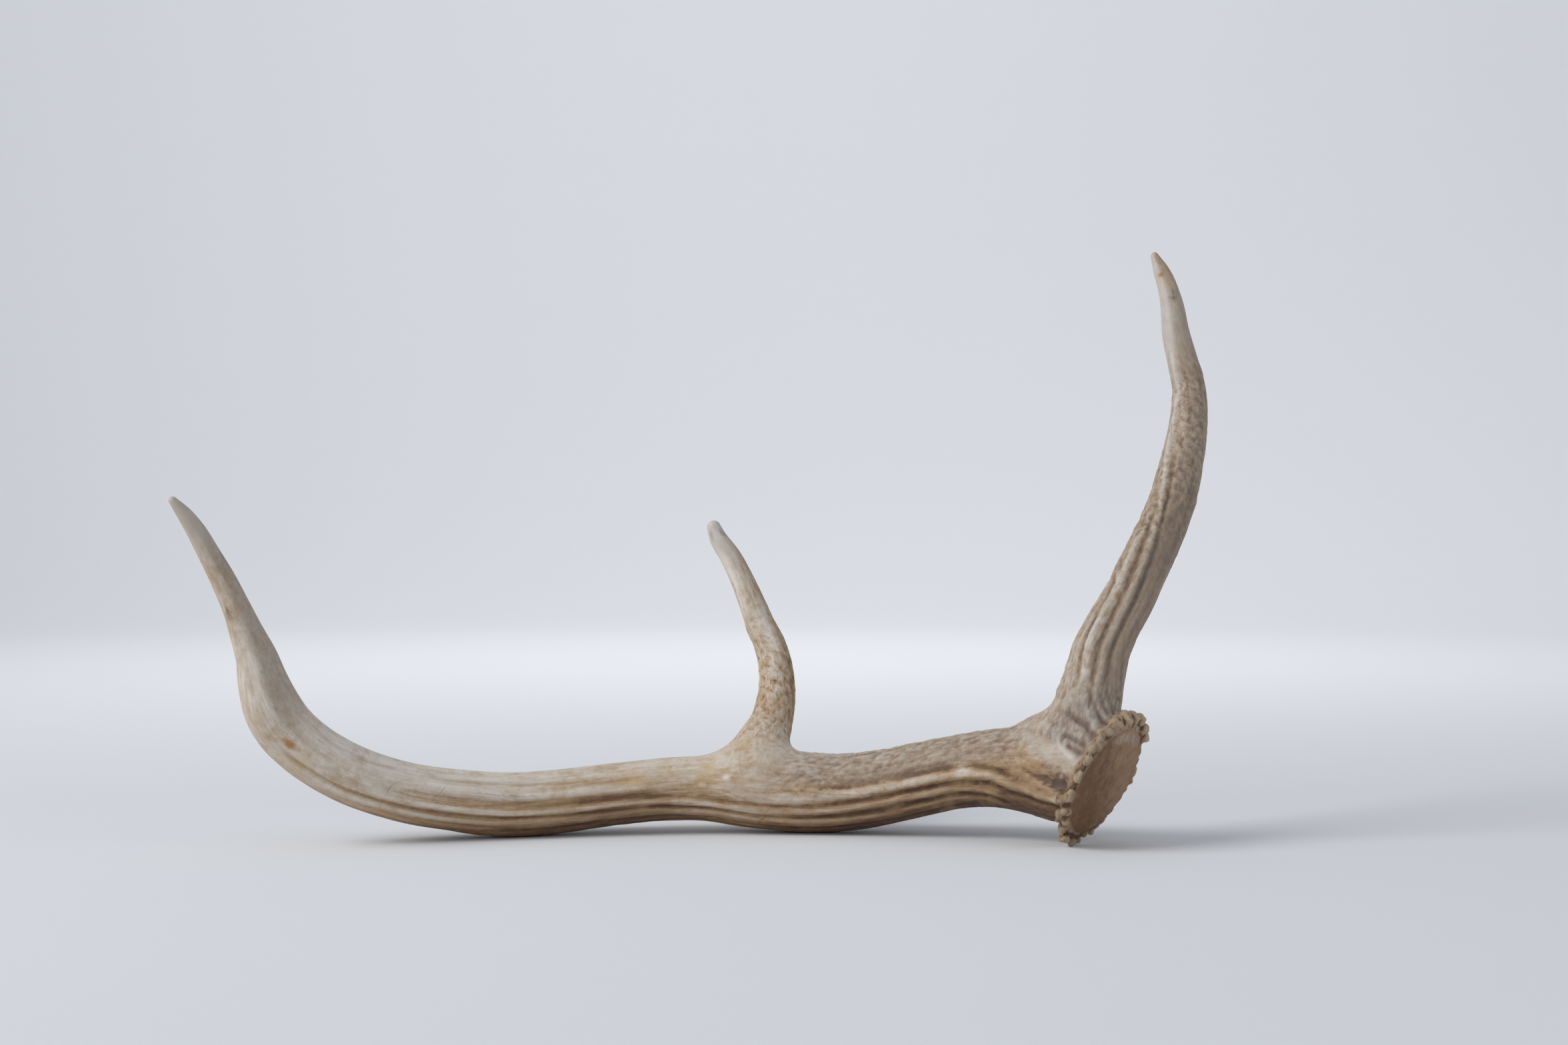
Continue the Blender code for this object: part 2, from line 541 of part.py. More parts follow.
def thinned(mesh, collection):
    """The skin with its flat stretches thinned to the triangle count that the solids are given."""
    body = add_object("antler_skin", mesh, collection)
    mesh.calc_loop_triangles()
    thin = body.modifiers.new("thin", "DECIMATE")
    thin.ratio = CAD_TRIANGLES / len(mesh.loop_triangles)
    result = evaluated_mesh(body)
    bpy.data.objects.remove(body)
    return result


def half_space(name, point, axis, size, collection, width=None):
    """A block that fills the side of a plane that its axis points to, used as a cutter."""
    sketch = bmesh.new()
    bmesh.ops.create_cube(sketch, size=1.0)
    width = width or size
    bmesh.ops.scale(sketch, vec=(width * MM, width * MM, size * MM), verts=sketch.verts)
    bmesh.ops.translate(sketch, vec=(0.0, 0.0, size * 0.5 * MM), verts=sketch.verts)
    mesh = bpy.data.meshes.new(name)
    sketch.to_mesh(mesh)
    sketch.free()
    cutter = add_object(name, mesh, collection)
    turn = Vector(unit(axis)).to_track_quat("Z", "Y").to_matrix().to_4x4()
    cutter.matrix_world = Matrix.Translation(Vector(point) * MM) @ turn
    cutter.hide_render = True
    cutter.display_type = "WIRE"
    return cutter


def cut(body, cutter, operation):
    """Cut a body with a cutter, or keep only what they share."""
    boolean = body.modifiers.new(cutter.name, "BOOLEAN")
    boolean.operation = operation
    boolean.solver = "EXACT"
    boolean.object = cutter


def bone(name, colour):
    """Dry bone in a plain colour."""
    material = bpy.data.materials.new(name)
    material.use_nodes = True
    shader = material.node_tree.nodes["Principled BSDF"]
    shader.inputs["Base Color"].default_value = (*colour, 1.0)
    shader.inputs["Roughness"].default_value = BONE_ROUGHNESS
    shader.inputs["Metallic"].default_value = 0.0
    return material


def clear_scene():
    """Remove whatever is in the scene."""
    for body in list(bpy.data.objects):
        bpy.data.objects.remove(body, do_unlink=True)


def new_collection(name):
    """A collection of the scene."""
    collection = bpy.data.collections.new(name)
    bpy.context.scene.collection.children.link(collection)
    return collection


def main():
    """Grow the skin, part it at its forks and cut the seal flat."""
    clear_scene()
    pieces = new_collection("deer_antler")
    cutters = new_collection("cutters")
    antler = Antler()
    skin = thinned(grown_skin(antler, cutters), cutters)

    brow_point, brow_axis = placed(BROW_CUT[0]), BROW_CUT[1]
    middle_point, middle_axis = placed(MIDDLE_CUT[0]), MIDDLE_CUT[1]
    seal_point = antler.burr.point(SEAL_FLAT, 0.0, 0.0)
    brow_back = brow_point - CUT_GAP * unit(brow_axis)
    middle_back = middle_point - CUT_GAP * unit(middle_axis)
    brow_block = half_space("brow_fork", brow_point, brow_axis, 220.0, cutters, width=150.0)
    brow_room = half_space("brow_fork_room", brow_back, brow_axis, 220.0, cutters, width=150.0)
    middle_block = half_space("middle_fork", middle_point, middle_axis, 130.0, cutters, width=90.0)
    middle_room = half_space("middle_fork_room", middle_back, middle_axis, 130.0, cutters, width=90.0)
    seal_block = half_space("seal_cut", seal_point, SEAL_AXIS, 40.0, cutters, width=90.0)

    beam = add_object("main_beam", skin, pieces)
    beam.data.materials.append(bone("weathered_bone", BONE_COLOUR))
    cut(beam, brow_room, "DIFFERENCE")
    cut(beam, middle_room, "DIFFERENCE")
    cut(beam, seal_block, "DIFFERENCE")

    brow = add_object("brow_tine", skin.copy(), pieces)
    brow.data.materials.clear()
    brow.data.materials.append(bone("pale_bone", BROW_COLOUR))
    cut(brow, brow_block, "INTERSECT")

    middle = add_object("middle_tine", skin.copy(), pieces)
    middle.data.materials.clear()
    middle.data.materials.append(bone("tan_bone", MIDDLE_COLOUR))
    cut(middle, middle_block, "INTERSECT")


if __name__ == "__main__":
    main()
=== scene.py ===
"""Shed antler of a young red deer, as found: tines up, resting on its burr and its beam.

The bone is grown as one skin from centre lines, then parted at its two forks into the beam, the
brow tine and the middle tine. Sizes in the tables are millimetres; Blender's units are metres.
"""

import math
import random

import bmesh
import bpy
import numpy as np
from bpy.props import FloatProperty, FloatVectorProperty, PointerProperty
from mathutils import Matrix, Vector, noise


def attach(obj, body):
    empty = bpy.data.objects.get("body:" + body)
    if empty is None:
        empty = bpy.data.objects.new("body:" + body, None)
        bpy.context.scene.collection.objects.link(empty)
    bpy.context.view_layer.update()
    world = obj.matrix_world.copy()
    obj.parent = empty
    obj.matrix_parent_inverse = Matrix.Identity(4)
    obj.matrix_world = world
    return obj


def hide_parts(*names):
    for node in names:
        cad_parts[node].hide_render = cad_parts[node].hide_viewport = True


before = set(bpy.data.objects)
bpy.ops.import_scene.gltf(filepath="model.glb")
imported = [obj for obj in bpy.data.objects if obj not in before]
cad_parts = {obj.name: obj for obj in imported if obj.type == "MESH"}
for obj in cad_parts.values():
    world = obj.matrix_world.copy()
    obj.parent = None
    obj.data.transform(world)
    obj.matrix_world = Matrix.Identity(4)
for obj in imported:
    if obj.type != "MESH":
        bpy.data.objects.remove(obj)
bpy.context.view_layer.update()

bl_info = {
    "name": "Shed antler",
    "version": (1, 0, 0),
    "blender": (4, 5, 0),
    "location": "3D View > Sidebar > Antler",
    "description": "A young stag's shed antler in three pieces, and the studio it is shown in",
    "category": "Object",
}

MM = 0.001

# Centre lines from tip to base: x, y, z and half the thickness across the view.
BEAM_LINE = (
    (-203.7, -55.0, 135.2, 1.6), (-199.8, -53.0, 130.0, 2.9), (-196.5, -51.0, 124.6, 3.6),
    (-191.8, -47.5, 114.7, 4.2), (-187.4, -44.0, 104.8, 4.8), (-183.2, -40.5, 93.9, 5.4),
    (-180.1, -37.5, 84.3, 6.5), (-177.0, -34.5, 74.4, 8.1), (-175.0, -32.0, 64.5, 9.8),
    (-172.3, -29.5, 55.2, 11.2), (-168.4, -27.0, 47.5, 11.6), (-162.0, -24.5, 40.2, 11.7),
    (-145.4, -19.0, 28.4, 11.9), (-132.2, -14.0, 22.6, 12.0), (-118.0, -8.5, 18.3, 12.4),
    (-99.4, -2.0, 14.7, 12.8), (-82.6, 3.0, 13.1, 13.0), (-63.8, 8.0, 13.8, 13.0),
    (-43.0, 11.8, 15.9, 12.8), (-21.4, 14.4, 18.0, 12.8), (-5.1, 15.4, 18.4, 13.5),
    (11.2, 15.7, 17.5, 15.0), (33.0, 15.4, 16.5, 16.3), (49.4, 14.0, 16.6, 15.8),
    (65.6, 11.0, 18.8, 15.4), (81.6, 7.0, 22.6, 15.1), (97.4, 2.5, 26.4, 14.9),
    (111.7, -2.5, 28.5, 15.7), (124.4, -8.5, 28.5, 17.3), (134.0, -14.0, 28.3, 19.4),
)
BROW_LINE = (
    (184.6, 54.0, 240.6, 1.7), (186.5, 53.4, 236.0, 3.0), (188.5, 52.8, 231.1, 3.8),
    (190.2, 51.8, 225.3, 4.3), (191.4, 50.6, 219.2, 4.9), (192.6, 48.2, 207.1, 5.8),
    (195.0, 45.3, 194.8, 6.4), (197.0, 41.7, 182.5, 7.0), (196.5, 38.6, 174.0, 7.6),
    (195.4, 35.5, 166.5, 8.1), (193.3, 31.2, 157.7, 8.7), (190.0, 25.6, 147.0, 9.3),
    (186.1, 19.5, 136.2, 9.8), (179.4, 12.0, 122.3, 10.0), (171.9, 4.5, 109.1, 10.4),
    (164.5, -3.0, 95.9, 10.7), (157.4, -7.8, 85.0, 11.0), (152.1, -11.2, 75.1, 11.5),
    (149.6, -13.8, 66.5, 12.1), (147.2, -16.0, 57.5, 13.2), (144.0, -19.0, 46.0, 14.5),
)
MIDDLE_LINE = (
    (-3.4, 52.8, 124.8, 3.0), (-1.9, 52.5, 121.0, 3.7), (3.5, 52.1, 112.7, 4.5),
    (8.6, 51.8, 102.8, 5.0), (12.6, 51.0, 93.5, 5.6), (16.3, 50.0, 84.1, 6.2),
    (21.1, 48.0, 73.5, 6.9), (23.1, 45.5, 64.3, 7.5), (23.4, 42.0, 55.0, 8.0),
    (22.6, 38.5, 48.5, 8.5), (20.8, 34.0, 42.0, 9.2), (17.4, 27.5, 34.5, 11.2),
    (14.0, 19.0, 24.0, 14.0),
)
# Depth of each section, front to back, against its width across the view.
BEAM_ROUNDNESS = 0.97
BROW_ROUNDNESS = 0.94
MIDDLE_ROUNDNESS = 1.0

# Pedicle seal, where the antler grew from the skull: its middle, its outward axis and size.
SEAL_CENTRE = (152.7, -27.2, 25.8)
SEAL_AXIS = (0.738, -0.529, -0.419)
SEAL_RADIUS = 25.5
# Its face swells a little: how far behind its plane it lies in the middle and at its edge, and how
# far out that edge is. The growth turns over softly there.
SEAL_DOME = (0.0, 1.1, 22.0)
SEAL_SOFTNESS = 0.8
# Where the finish of the face ends, by the distance behind it and by the reach, and where that of
# the knobs ends.
FACE_DEPTH = (1.7, 1.0)
FACE_REACH = (23.4, 22.2)
BURR_DEPTH = (6.5, 5.0)
# The stem behind the seal: how far behind it, and half the thickness there.
STEM = ((-3.0, 22.0), (6.0, 21.5), (14.0, 20.0), (22.0, 17.0), (30.0, 13.0))
# The burr's rim under its knobs: angle from its top, negative towards the front, and reach.
BURR_RIM = ((-180, 25.0), (-140, 24.2), (-90, 23.8), (-40, 23.6), (0, 24.3), (38, 25.2),
            (52, 24.6), (66, 23.2), (80, 24.1), (92, 24.4), (102, 23.9), (112, 23.6),
            (121, 23.3), (131, 24.4), (141, 25.4), (152, 25.9), (164, 25.8), (180, 25.2))
# How thick the burr is without its knobs, and how round its rim is.
BURR_THICKNESS = 6.0
BURR_EDGE = 2.4
# The pale band at the seal's upper edge: where it lies by the angle from the top and the reach.
SEAL_BAND = (-32, -20, 32, 44)
SEAL_BAND_REACH = (16.5, 18.5, 20.5, 22.5)
# The brown stain on the seal and the knobs: the angle that it deepens towards, and between which
# distances that way.
STAIN_SIDE = -115.0
STAIN_REACH = (-14.0, 20.0)
# The burr's knobs at the front: distance behind the seal, reach, angle from the top and radius.
FRONT_KNOBS = (
    (4.6, 25.8, -36, 1.9), (3.0, 25.6, -31, 2.0), (2.9, 24.8, -41, 1.7), (5.0, 24.9, -10, 2.6),
    (3.6, 24.9, -16, 2.7), (3.4, 24.2, -24, 2.0), (5.6, 26.0, 5, 2.7), (3.8, 26.5, 14, 2.9),
    (3.2, 25.0, 2, 2.6), (3.3, 27.7, 26, 2.6), (1.9, 26.9, 38, 2.3), (1.7, 26.1, 50, 2.0),
    (5.6, 25.2, 30, 2.4), (2.7, 25.4, -54, 1.7), (2.5, 24.4, -48, 1.5), (1.8, 25.3, -62, 1.4),
    (1.6, 25.0, -67, 1.3), (1.7, 25.1, -77, 1.3), (1.8, 25.3, -83, 1.5), (1.7, 25.1, -96, 1.6),
    (4.9, 25.5, -107, 2.2), (2.2, 25.3, -102, 2.0), (1.9, 25.2, -117, 1.9), (4.4, 25.4, -124, 1.9),
    (1.8, 25.4, -129, 1.8), (5.2, 25.2, -133, 1.5), (3.4, 25.5, -143, 2.1), (3.4, 27.3, -158, 2.3),
    (2.0, 27.4, -167, 2.0), (1.7, 26.8, -176, 1.7), (4.6, 26.6, -171, 2.1),
)
# The knobs on the far side follow the rim: how many, between which angles, and their radius.
FAR_KNOBS = {"count": 13, "from": 58.0, "to": 176.0, "radius": 1.3, "seed": 8}
# Lumps on the knobs, coarse and small: size, share of the relief and where in the noise they lie,
# and how much the whole is let down.
KNOB_LUMPS = ((3.0, 0.6, 12.0), (1.7, 0.5, 18.0))
KNOB_SINK = 0.1
# How deep a dip and how high a top of the knobs counts in full for the finish, and how deep a
# furrow of the bone does.
KNOB_DIP = 0.16
KNOB_RISE = 0.3
FURROW_DIP = 0.55
# The stem's relief and finish give way to the limbs' at this distance from the seal's middle.
STEM_REACH = 44.0
STEM_FADE = 12.0
# The stem's side whose grain runs up the brow tine, by the angle round its axis, and the part of
# it that the narrow flutes keep to.
TINE_SIDE = (-70, -60, 62, 72)
FLUTED_SIDE = (-72, -62, 60, 70)

# How softly one limb flows into the next.
STEM_BLEND = 6.0
BROW_BLEND = 8.0
MIDDLE_BLEND = 11.0
KNOB_BLEND = 1.6

# Cuts at the two forks: a point on the cut, the way that the tine leaves it, and how far from that
# point the cut reaches.
BROW_CUT = ((147.5, -16.0, 60.0), (0.20, 0.26, 0.945), 30.0)
MIDDLE_CUT = ((18.0, 28.5, 36.0), (0.04, 0.55, 0.83), 26.0)

# Long ridges (+) and furrows (-): height, half-width, then places along the limb from its tip with
# the angle round it from the front, positive towards the ground, or the left on a tine.
BEAM_RIDGES = (
    (0.55, 1.5, ((120, 30), (160, 28), (200, 25), (225, 28), (250, 31), (275, 37), (300, 40),
                 (320, 38), (350, 36), (380, 34), (395, 42), (405, 54))),
    (-0.80, 1.5, ((105, 24), (150, 19), (180, 19), (210, 17), (240, 22), (265, 28), (280, 31),
                  (300, 34), (330, 30), (360, 26), (385, 28), (400, 40), (410, 54))),
    (0.70, 1.5, ((140, 4), (165, 6), (185, 7), (205, 9), (225, 12), (245, 11), (260, 15),
                 (275, 22), (300, 27), (320, 22), (340, 17), (360, 14), (380, 16), (395, 24),
                 (405, 36))),
    (-0.60, 1.6, ((150, -3), (180, -1), (205, 0), (230, 2), (255, 5), (275, 12), (300, 16),
                  (320, 12), (345, 7), (370, 6), (385, 8), (400, 16), (410, 28))),
    (0.90, 2.0, ((300, 8), (318, 4), (335, -3), (350, -7), (375, -6), (390, -2), (400, 4),
                 (408, 13), (416, 26))),
    (0.50, 1.6, ((160, -34), (185, -28), (200, -25), (215, -20), (235, -16), (255, -11))),
    (0.30, 1.5, ((58, 3), (70, 0), (84, -6), (98, -10), (112, -12), (126, -10), (142, -5))),
    (-0.55, 1.8, ((150, -12), (180, -14), (205, -12), (230, -7), (250, -3))),
    (-0.50, 1.8, ((110, -56), (150, -51), (180, -48), (205, -46), (225, -40), (250, -34))),
    (-0.70, 1.8, ((330, -16), (350, -19), (375, -18), (390, -14), (402, -6), (412, 6))),
    (-0.80, 1.8, ((190, 48), (225, 50), (255, 54), (280, 58), (310, 60), (350, 56), (390, 58))),
)
BROW_RIDGES = (
    (0.70, 1.2, ((42, 48), (60, 48), (75, 60), (88, 63), (102, 53), (114, 44), (123, 34),
                 (133, 25), (146, 17), (155, 14), (163, 14), (171, 10), (180, 6), (192, 2),
                 (204, 0), (214, -4))),
    (-0.70, 1.4, ((100, 36), (115, 28), (130, 18), (140, 8), (150, 2), (165, -2), (180, -8),
                  (195, -12), (210, -18))),
    (-0.75, 1.3, ((130, 46), (142, 38), (152, 32), (165, 27), (178, 22), (190, 17), (202, 13),
                  (214, 6))),
    (0.75, 1.4, ((140, 58), (155, 52), (170, 47), (182, 43), (192, 38), (202, 30), (210, 20))),
    (-0.70, 1.3, ((165, 64), (178, 58), (190, 53), (200, 46), (210, 34))),
    (0.30, 1.4, ((120, -22), (140, -24), (160, -22), (180, -26), (200, -32))),
    (-0.35, 1.8, ((110, -36), (135, -40), (160, -38), (185, -42), (205, -48))),
)
# The same on the stem: places are the distance behind the seal and the angle round its axis from
# the top, negative towards the front.
STEM_RIDGES = (
    (0.90, 1.8, ((2, -76), (8, -71), (14, -66), (19, -60), (23, -53), (30, -44))),
    (-0.80, 1.8, ((2, -93), (6, -97), (12, -103), (20, -109), (30, -113))),
    (0.90, 1.8, ((2, -112), (8, -120), (14, -124), (22, -128), (32, -132), (40, -137))),
    (-0.80, 1.6, ((4, -128), (12, -133), (22, -137), (36, -142))),
    (-0.70, 1.5, ((2, -14), (10, -14), (18, -10), (26, -5))),
    (0.60, 1.4, ((2, -22), (10, -22), (18, -20), (26, -15))),
    (-0.70, 1.5, ((2, -32), (8, -32), (16, -31), (24, -27))),
    (-0.70, 1.6, ((2, -50), (8, -50), (14, -50), (20, -50))),
    (-0.60, 2.0, ((3, 20), (10, 24), (18, 30), (28, 38))),
    (0.70, 2.0, ((3, 55), (10, 58), (18, 64), (28, 74))),
    (-0.80, 2.0, ((3, 85), (10, 90), (18, 96), (28, 104))),
    (0.70, 2.2, ((3, 118), (10, 122), (18, 128), (28, 136))),
    (-0.80, 2.0, ((3, 150), (10, 156), (18, 162), (28, 168))),
)
# A ridge comes in and goes out over these lengths. Furrows are deeper and narrower than listed.
RIDGE_START = 12.0
RIDGE_END = 8.0
RIDGE_GAIN = 0.9
FURROW_GAIN = 1.15
FURROW_SHARPNESS = 1.75
# Flutes laid out by rule: how many, depth, half-width, where along the limb, and how much of them
# is left on the side that the ridges above are listed for.
BEAM_FLUTES = {"count": 13, "height": 0.55, "half_width": 1.5, "from": 60.0, "to": 400.0,
               "front": 0.2, "seed": 3}
BROW_FLUTES = {"count": 10, "height": 0.50, "half_width": 1.5, "from": 70.0, "to": 215.0,
               "front": 0.18, "seed": 5}
MIDDLE_FLUTES = {"count": 8, "height": 0.30, "half_width": 1.5, "from": 15.0, "to": 105.0,
                 "front": 0.5, "seed": 7}
# They come in and go out over these lengths, and are full beyond the second angle.
FLUTE_START = 60.0
FLUTE_END = 15.0
FLUTE_SIDES = (45.0, 75.0)
# Narrow ones that fan out over the stem from the burr.
STEM_FLUTES = {"count": 32, "height": 0.55, "half_width": 0.95, "from": -60.0, "to": 48.0,
               "front": 1.0, "seed": 23}
# Pearls and pits: how many, where along the limb, the angles they lie between, radius and height.
BEAM_PEARLS = {"count": 60, "from": 280.0, "to": 408.0, "angles": (-150, 0), "radius": 1.7,
               "height": 0.5, "seed": 11}
BROW_PEARLS = {"count": 80, "from": 50.0, "to": 214.0, "angles": (-180, 180), "radius": 1.4,
               "height": 0.45, "seed": 14}
MIDDLE_PEARLS = {"count": 36, "from": 45.0, "to": 112.0, "angles": (-180, 180), "radius": 1.6,
                 "height": 0.35, "seed": 17}
STEM_PEARLS = {"count": 34, "from": 5.0, "to": 28.0, "angles": (-60, 60), "radius": 1.4,
               "height": 0.35, "seed": 19}

# Patterns in the relief: size, how far drawn out along the grain, where in the noise they lie and,
# for some, their slant.
SWAY = (8.0, 4.0, 21.0)
BEADS = (2.6, 1.5, 4.0)
SWELLS = (11.0, 1.6, 6.0)
FINE_RIDGES = (1.9, 14.0, 15.0)
FINE_RIDGE_HEIGHT = 0.3
WEAR = (14.0, 1.5, 31.0)
PEBBLES = (2.0, 1.6, 3.0, 0.6)
CREASES = (3.0, 1.5, 5.0, 0.6)
# The relief of stem and limbs comes in behind the burr: from this distance, over this length.
RELIEF_START = 4.5
RELIEF_RISE = 3.0

# The dark pitted patch just above the burr: angles round the stem, and places along it.
PITTED = ((-115, -108, -89, -82), (26, 11))
# The brow tine's smoother side: how much of its fine ridges and of its beads is worn off there,
# and the angles.
RIDGES_WORN = (0.45, -94, -80, 0, 14)
BEADS_WORN = (0.9, -89, -75, 0, 14)
# Broad marks, each a sum of patches: limb, strength, the angles round the limb between which the
# patch comes in and goes out again, the same along the limb, and any worn side. None is all round,
# or all along.
ZONES = {
    # Fine ridges that run side by side.
    "grooves": (
        ("stem", 0.35, None, None), ("stem", 0.9, (-67, -59, 60, 68), None),
        ("stem", 0.8, *PITTED),
        ("beam", 0.15, None, None), ("beam", 0.25, None, (110, 180)),
        ("beam", 0.5, (-20, 5, 130, 155), (110, 180)),
        ("brow", 0.15, None, None), ("brow", 0.85, None, (110, 170), RIDGES_WORN),
        ("brow", 0.3, None, (180, 205), RIDGES_WORN),
        ("middle", 0.2, None, None),
    ),
    # Pits and beads.
    "rough": (
        ("stem", 0.25, None, None), ("stem", 0.35, (-65, -59, 45, 51), None),
        ("stem", 0.7, *PITTED),
        ("beam", 0.65, None, (272, 312)), ("beam", -0.55, (-30, -14, 118, 134), (272, 312)),
        ("beam", 0.08, None, (90, 150)),
        ("brow", 0.75, (-80, -60, 25, 45), (40, 62, 130, 152)),
        ("brow", 0.2925, None, (75, 120), BEADS_WORN),
        ("brow", 0.3575, (0, 14, 95, 109), (75, 120), BEADS_WORN),
        ("brow", 0.1, None, (30, 60)),
        ("middle", 0.05, None, None), ("middle", 0.15, None, (10, 30)),
        ("middle", 0.35, None, (40, 70)),
    ),
    "violet": (
        ("stem", 1.0, (-65, -59, 30, 36), (34, 22)), ("stem", 0.5, *PITTED),
        ("beam", 0.4, (-93, -75, -25, -7), (285, 330)),
    ),
    "dun": (
        ("stem", 0.75, (-98, -84, 90, 104), None),
        # On the brow tine's right side, away from the light, the greyer dun is partly painted
        # shade.
        ("brow", 0.75, None, (5, 30)), ("brow", 0.25, (-175, -150, 5, 30), (5, 30)),
        ("beam", 0.7, (-140, -120, -30, -10), (285, 320)),
        # The beam's upturned tip is greyed on its right side, away from the light: partly tone,
        # partly painted shade.
        ("beam", 1.0, (-145, -120, -30, -5), (110, 80)),
    ),
    # Short winding streaks.
    "worms": (
        ("brow", 0.5, None, (42, 70)), ("brow", 0.9, None, (42, 70, 115, 150)),
        ("middle", 0.35, None, (8, 25)), ("middle", 0.5, None, (40, 70)),
        ("beam", 0.4, (-165, -150, -5, 10), (290, 320)),
    ),
    "polish": (
        # The brow tip is less pale on its right side, away from the light: partly its tone, partly
        # painted shade.
        ("brow", 1.0, None, (60, 20)), ("brow", -0.75, (-175, -150, 8, 33), (60, 20)),
        ("middle", 1.0, None, (24, 2)), ("beam", 1.0, None, (34, 6)),
    ),
}
# The same for what is darker or paler than the tones below.
TONE_ZONES = (
    ("stem", 0.16, *PITTED),
    # Darker on the right of the beam's upturned tip, away from the light: partly tone, partly
    # painted shade.
    ("beam", 0.08, (-150, -120, -35, -5), (112, 85)),
    ("brow", -0.1, (10, 22, 90, 102), (150, 190)),
    ("middle", 0.14, (-164, -150, -56, -42), None),
)
# How dark the bone's ground is, 0 palest to 1 darkest, by the place along each limb.
BEAM_TONES = ((20, 0.3), (45, 0.23), (70, 0.17), (90, 0.18), (125, 0.02), (180, 0.05),
              (235, 0.22), (280, 0.17), (320, 0.19), (360, 0.28))
BROW_TONES = ((10, 0.3), (25, 0.14), (50, 0.25), (100, 0.34), (130, 0.4), (160, 0.36))
MIDDLE_TONES = ((5, 0.24), (30, 0.26), (50, 0.26), (60, 0.32), (85, 0.38), (100, 0.28),
                (110, 0.32))
# The beam's underside, darkened partly for its real stain and partly as painted shade: the angle
# of its middle, how far from it the full dark holds, and where that has gone.
BENEATH = 90.0
BENEATH_REACH = (25.0, 155.0)
# How much darker the beam's underside is, partly stain and partly painted shade, and the brow
# tine's side away from the beam and the light, partly its own tone and partly painted shade.
BEAM_UNDERSIDE_STAIN_AND_SHADE = ((85, 0.06), (125, 0.38), (180, 0.66), (240, 0.68), (280, 0.5), (305, 0.5),
                  (340, 0.66))
# The brow tine's right side, away from the light: partly its own tone, partly painted shade.
BROW_RIGHT_TONE_AND_SHADE = ((20, 0.2), (45, 0.2), (70, 0.14), (100, 0.14), (135, 0.2), (165, 0.18))
BROW_SHADED_SIDE = (-180, -150, 8, 38)
# The stem's ground by the angle round it, and the dark foot of the burr, partly dirt and partly
# painted shade where the stem meets the knobs, by the distance behind the seal, with its strength.
STEM_TONES = ((-150, 0.9), (-130, 0.72), (-112, 0.5), (-98, 0.52), (-88, 0.32), (-66, 0.22),
              (-58, 0.28), (0, 0.28), (60, 0.4), (150, 0.85))
BURR_FOOT = (1.5, 4.5, 7.0, 10.0)
BURR_FOOT_DIRT_AND_SHADE = 0.16

# Small marks: limb, kind, place along it, angle round it, half-length, half-width and strength.
MARKS = (
    ("beam", "ochre", 104, 1, 3.8, 1.5, 1.0),
    ("beam", "yellow", 110, 32, 3.5, 6.0, 0.7),
    ("beam", "soot", 48, 27, 2.6, 1.6, 0.8),
    ("beam", "dark", 49, 20, 3.0, 1.6, 0.4),
    ("beam", "yellow", 248, -32, 4.5, 4.0, 0.8),
    ("beam", "yellow", 279, -38, 5.0, 6.0, 0.8),
    ("beam", "yellow", 262, -48, 3.0, 2.5, 0.5),
    ("beam", "dark", 252, -8, 3.5, 1.6, 0.5),
    ("beam", "dark", 260, 20, 3.5, 1.8, 0.5),
    ("beam", "dark", 285, -30, 2.8, 2.0, 0.9),
    ("beam", "pale", 286, -26, 1.3, 0.9, 2.0),
    ("beam", "dark", 276, -15, 2.4, 1.5, 0.7),
    ("beam", "pale", 276, -13, 1.2, 0.7, 1.6),
    ("beam", "dark", 247, 3, 3.0, 1.2, 0.6),
    ("beam", "dark", 256, 6, 4.0, 1.0, 0.5),
    ("beam", "pale", 388, -12, 3.0, 2.0, 0.8),
    ("beam", "pale", 210, -20, 20.0, 1.2, 0.5),
    ("beam", "dark", 30, -10, 1.4, 1.0, 0.4),
    ("beam", "dark", 8, 20, 7.0, 3.0, 0.5),
    ("brow", "ochre", 9, 12, 1.1, 1.1, 0.62),
    ("brow", "ochre", 9, 36, 1.1, 1.1, 0.62),
    ("brow", "soot", 20, -4, 2.2, 1.3, 0.9),
    ("brow", "soot", 17, -16, 1.4, 0.7, 0.6),
    ("brow", "dark", 140, -15, 16.0, 4.5, 0.45),
    ("brow", "yellow", 12, 0, 3.0, 4.0, 0.12),
    ("middle", "yellow", 70, 42, 4.0, 4.0, 0.8),
    ("middle", "yellow", 112, 28, 4.0, 4.0, 0.9),
    ("middle", "soot", 3, 42, 1.6, 1.0, 0.6),
    ("middle", "soot", 4, -45, 1.8, 1.0, 0.6),
    ("middle", "pale", 4, -10, 1.8, 1.3, 1.0),
    ("middle", "pale", 20, 40, 12.0, 1.6, 0.8),
    ("middle", "pale", 50, -15, 8.0, 1.8, 0.7),
    ("middle", "pale", 75, 5, 9.0, 1.6, 0.4),
)
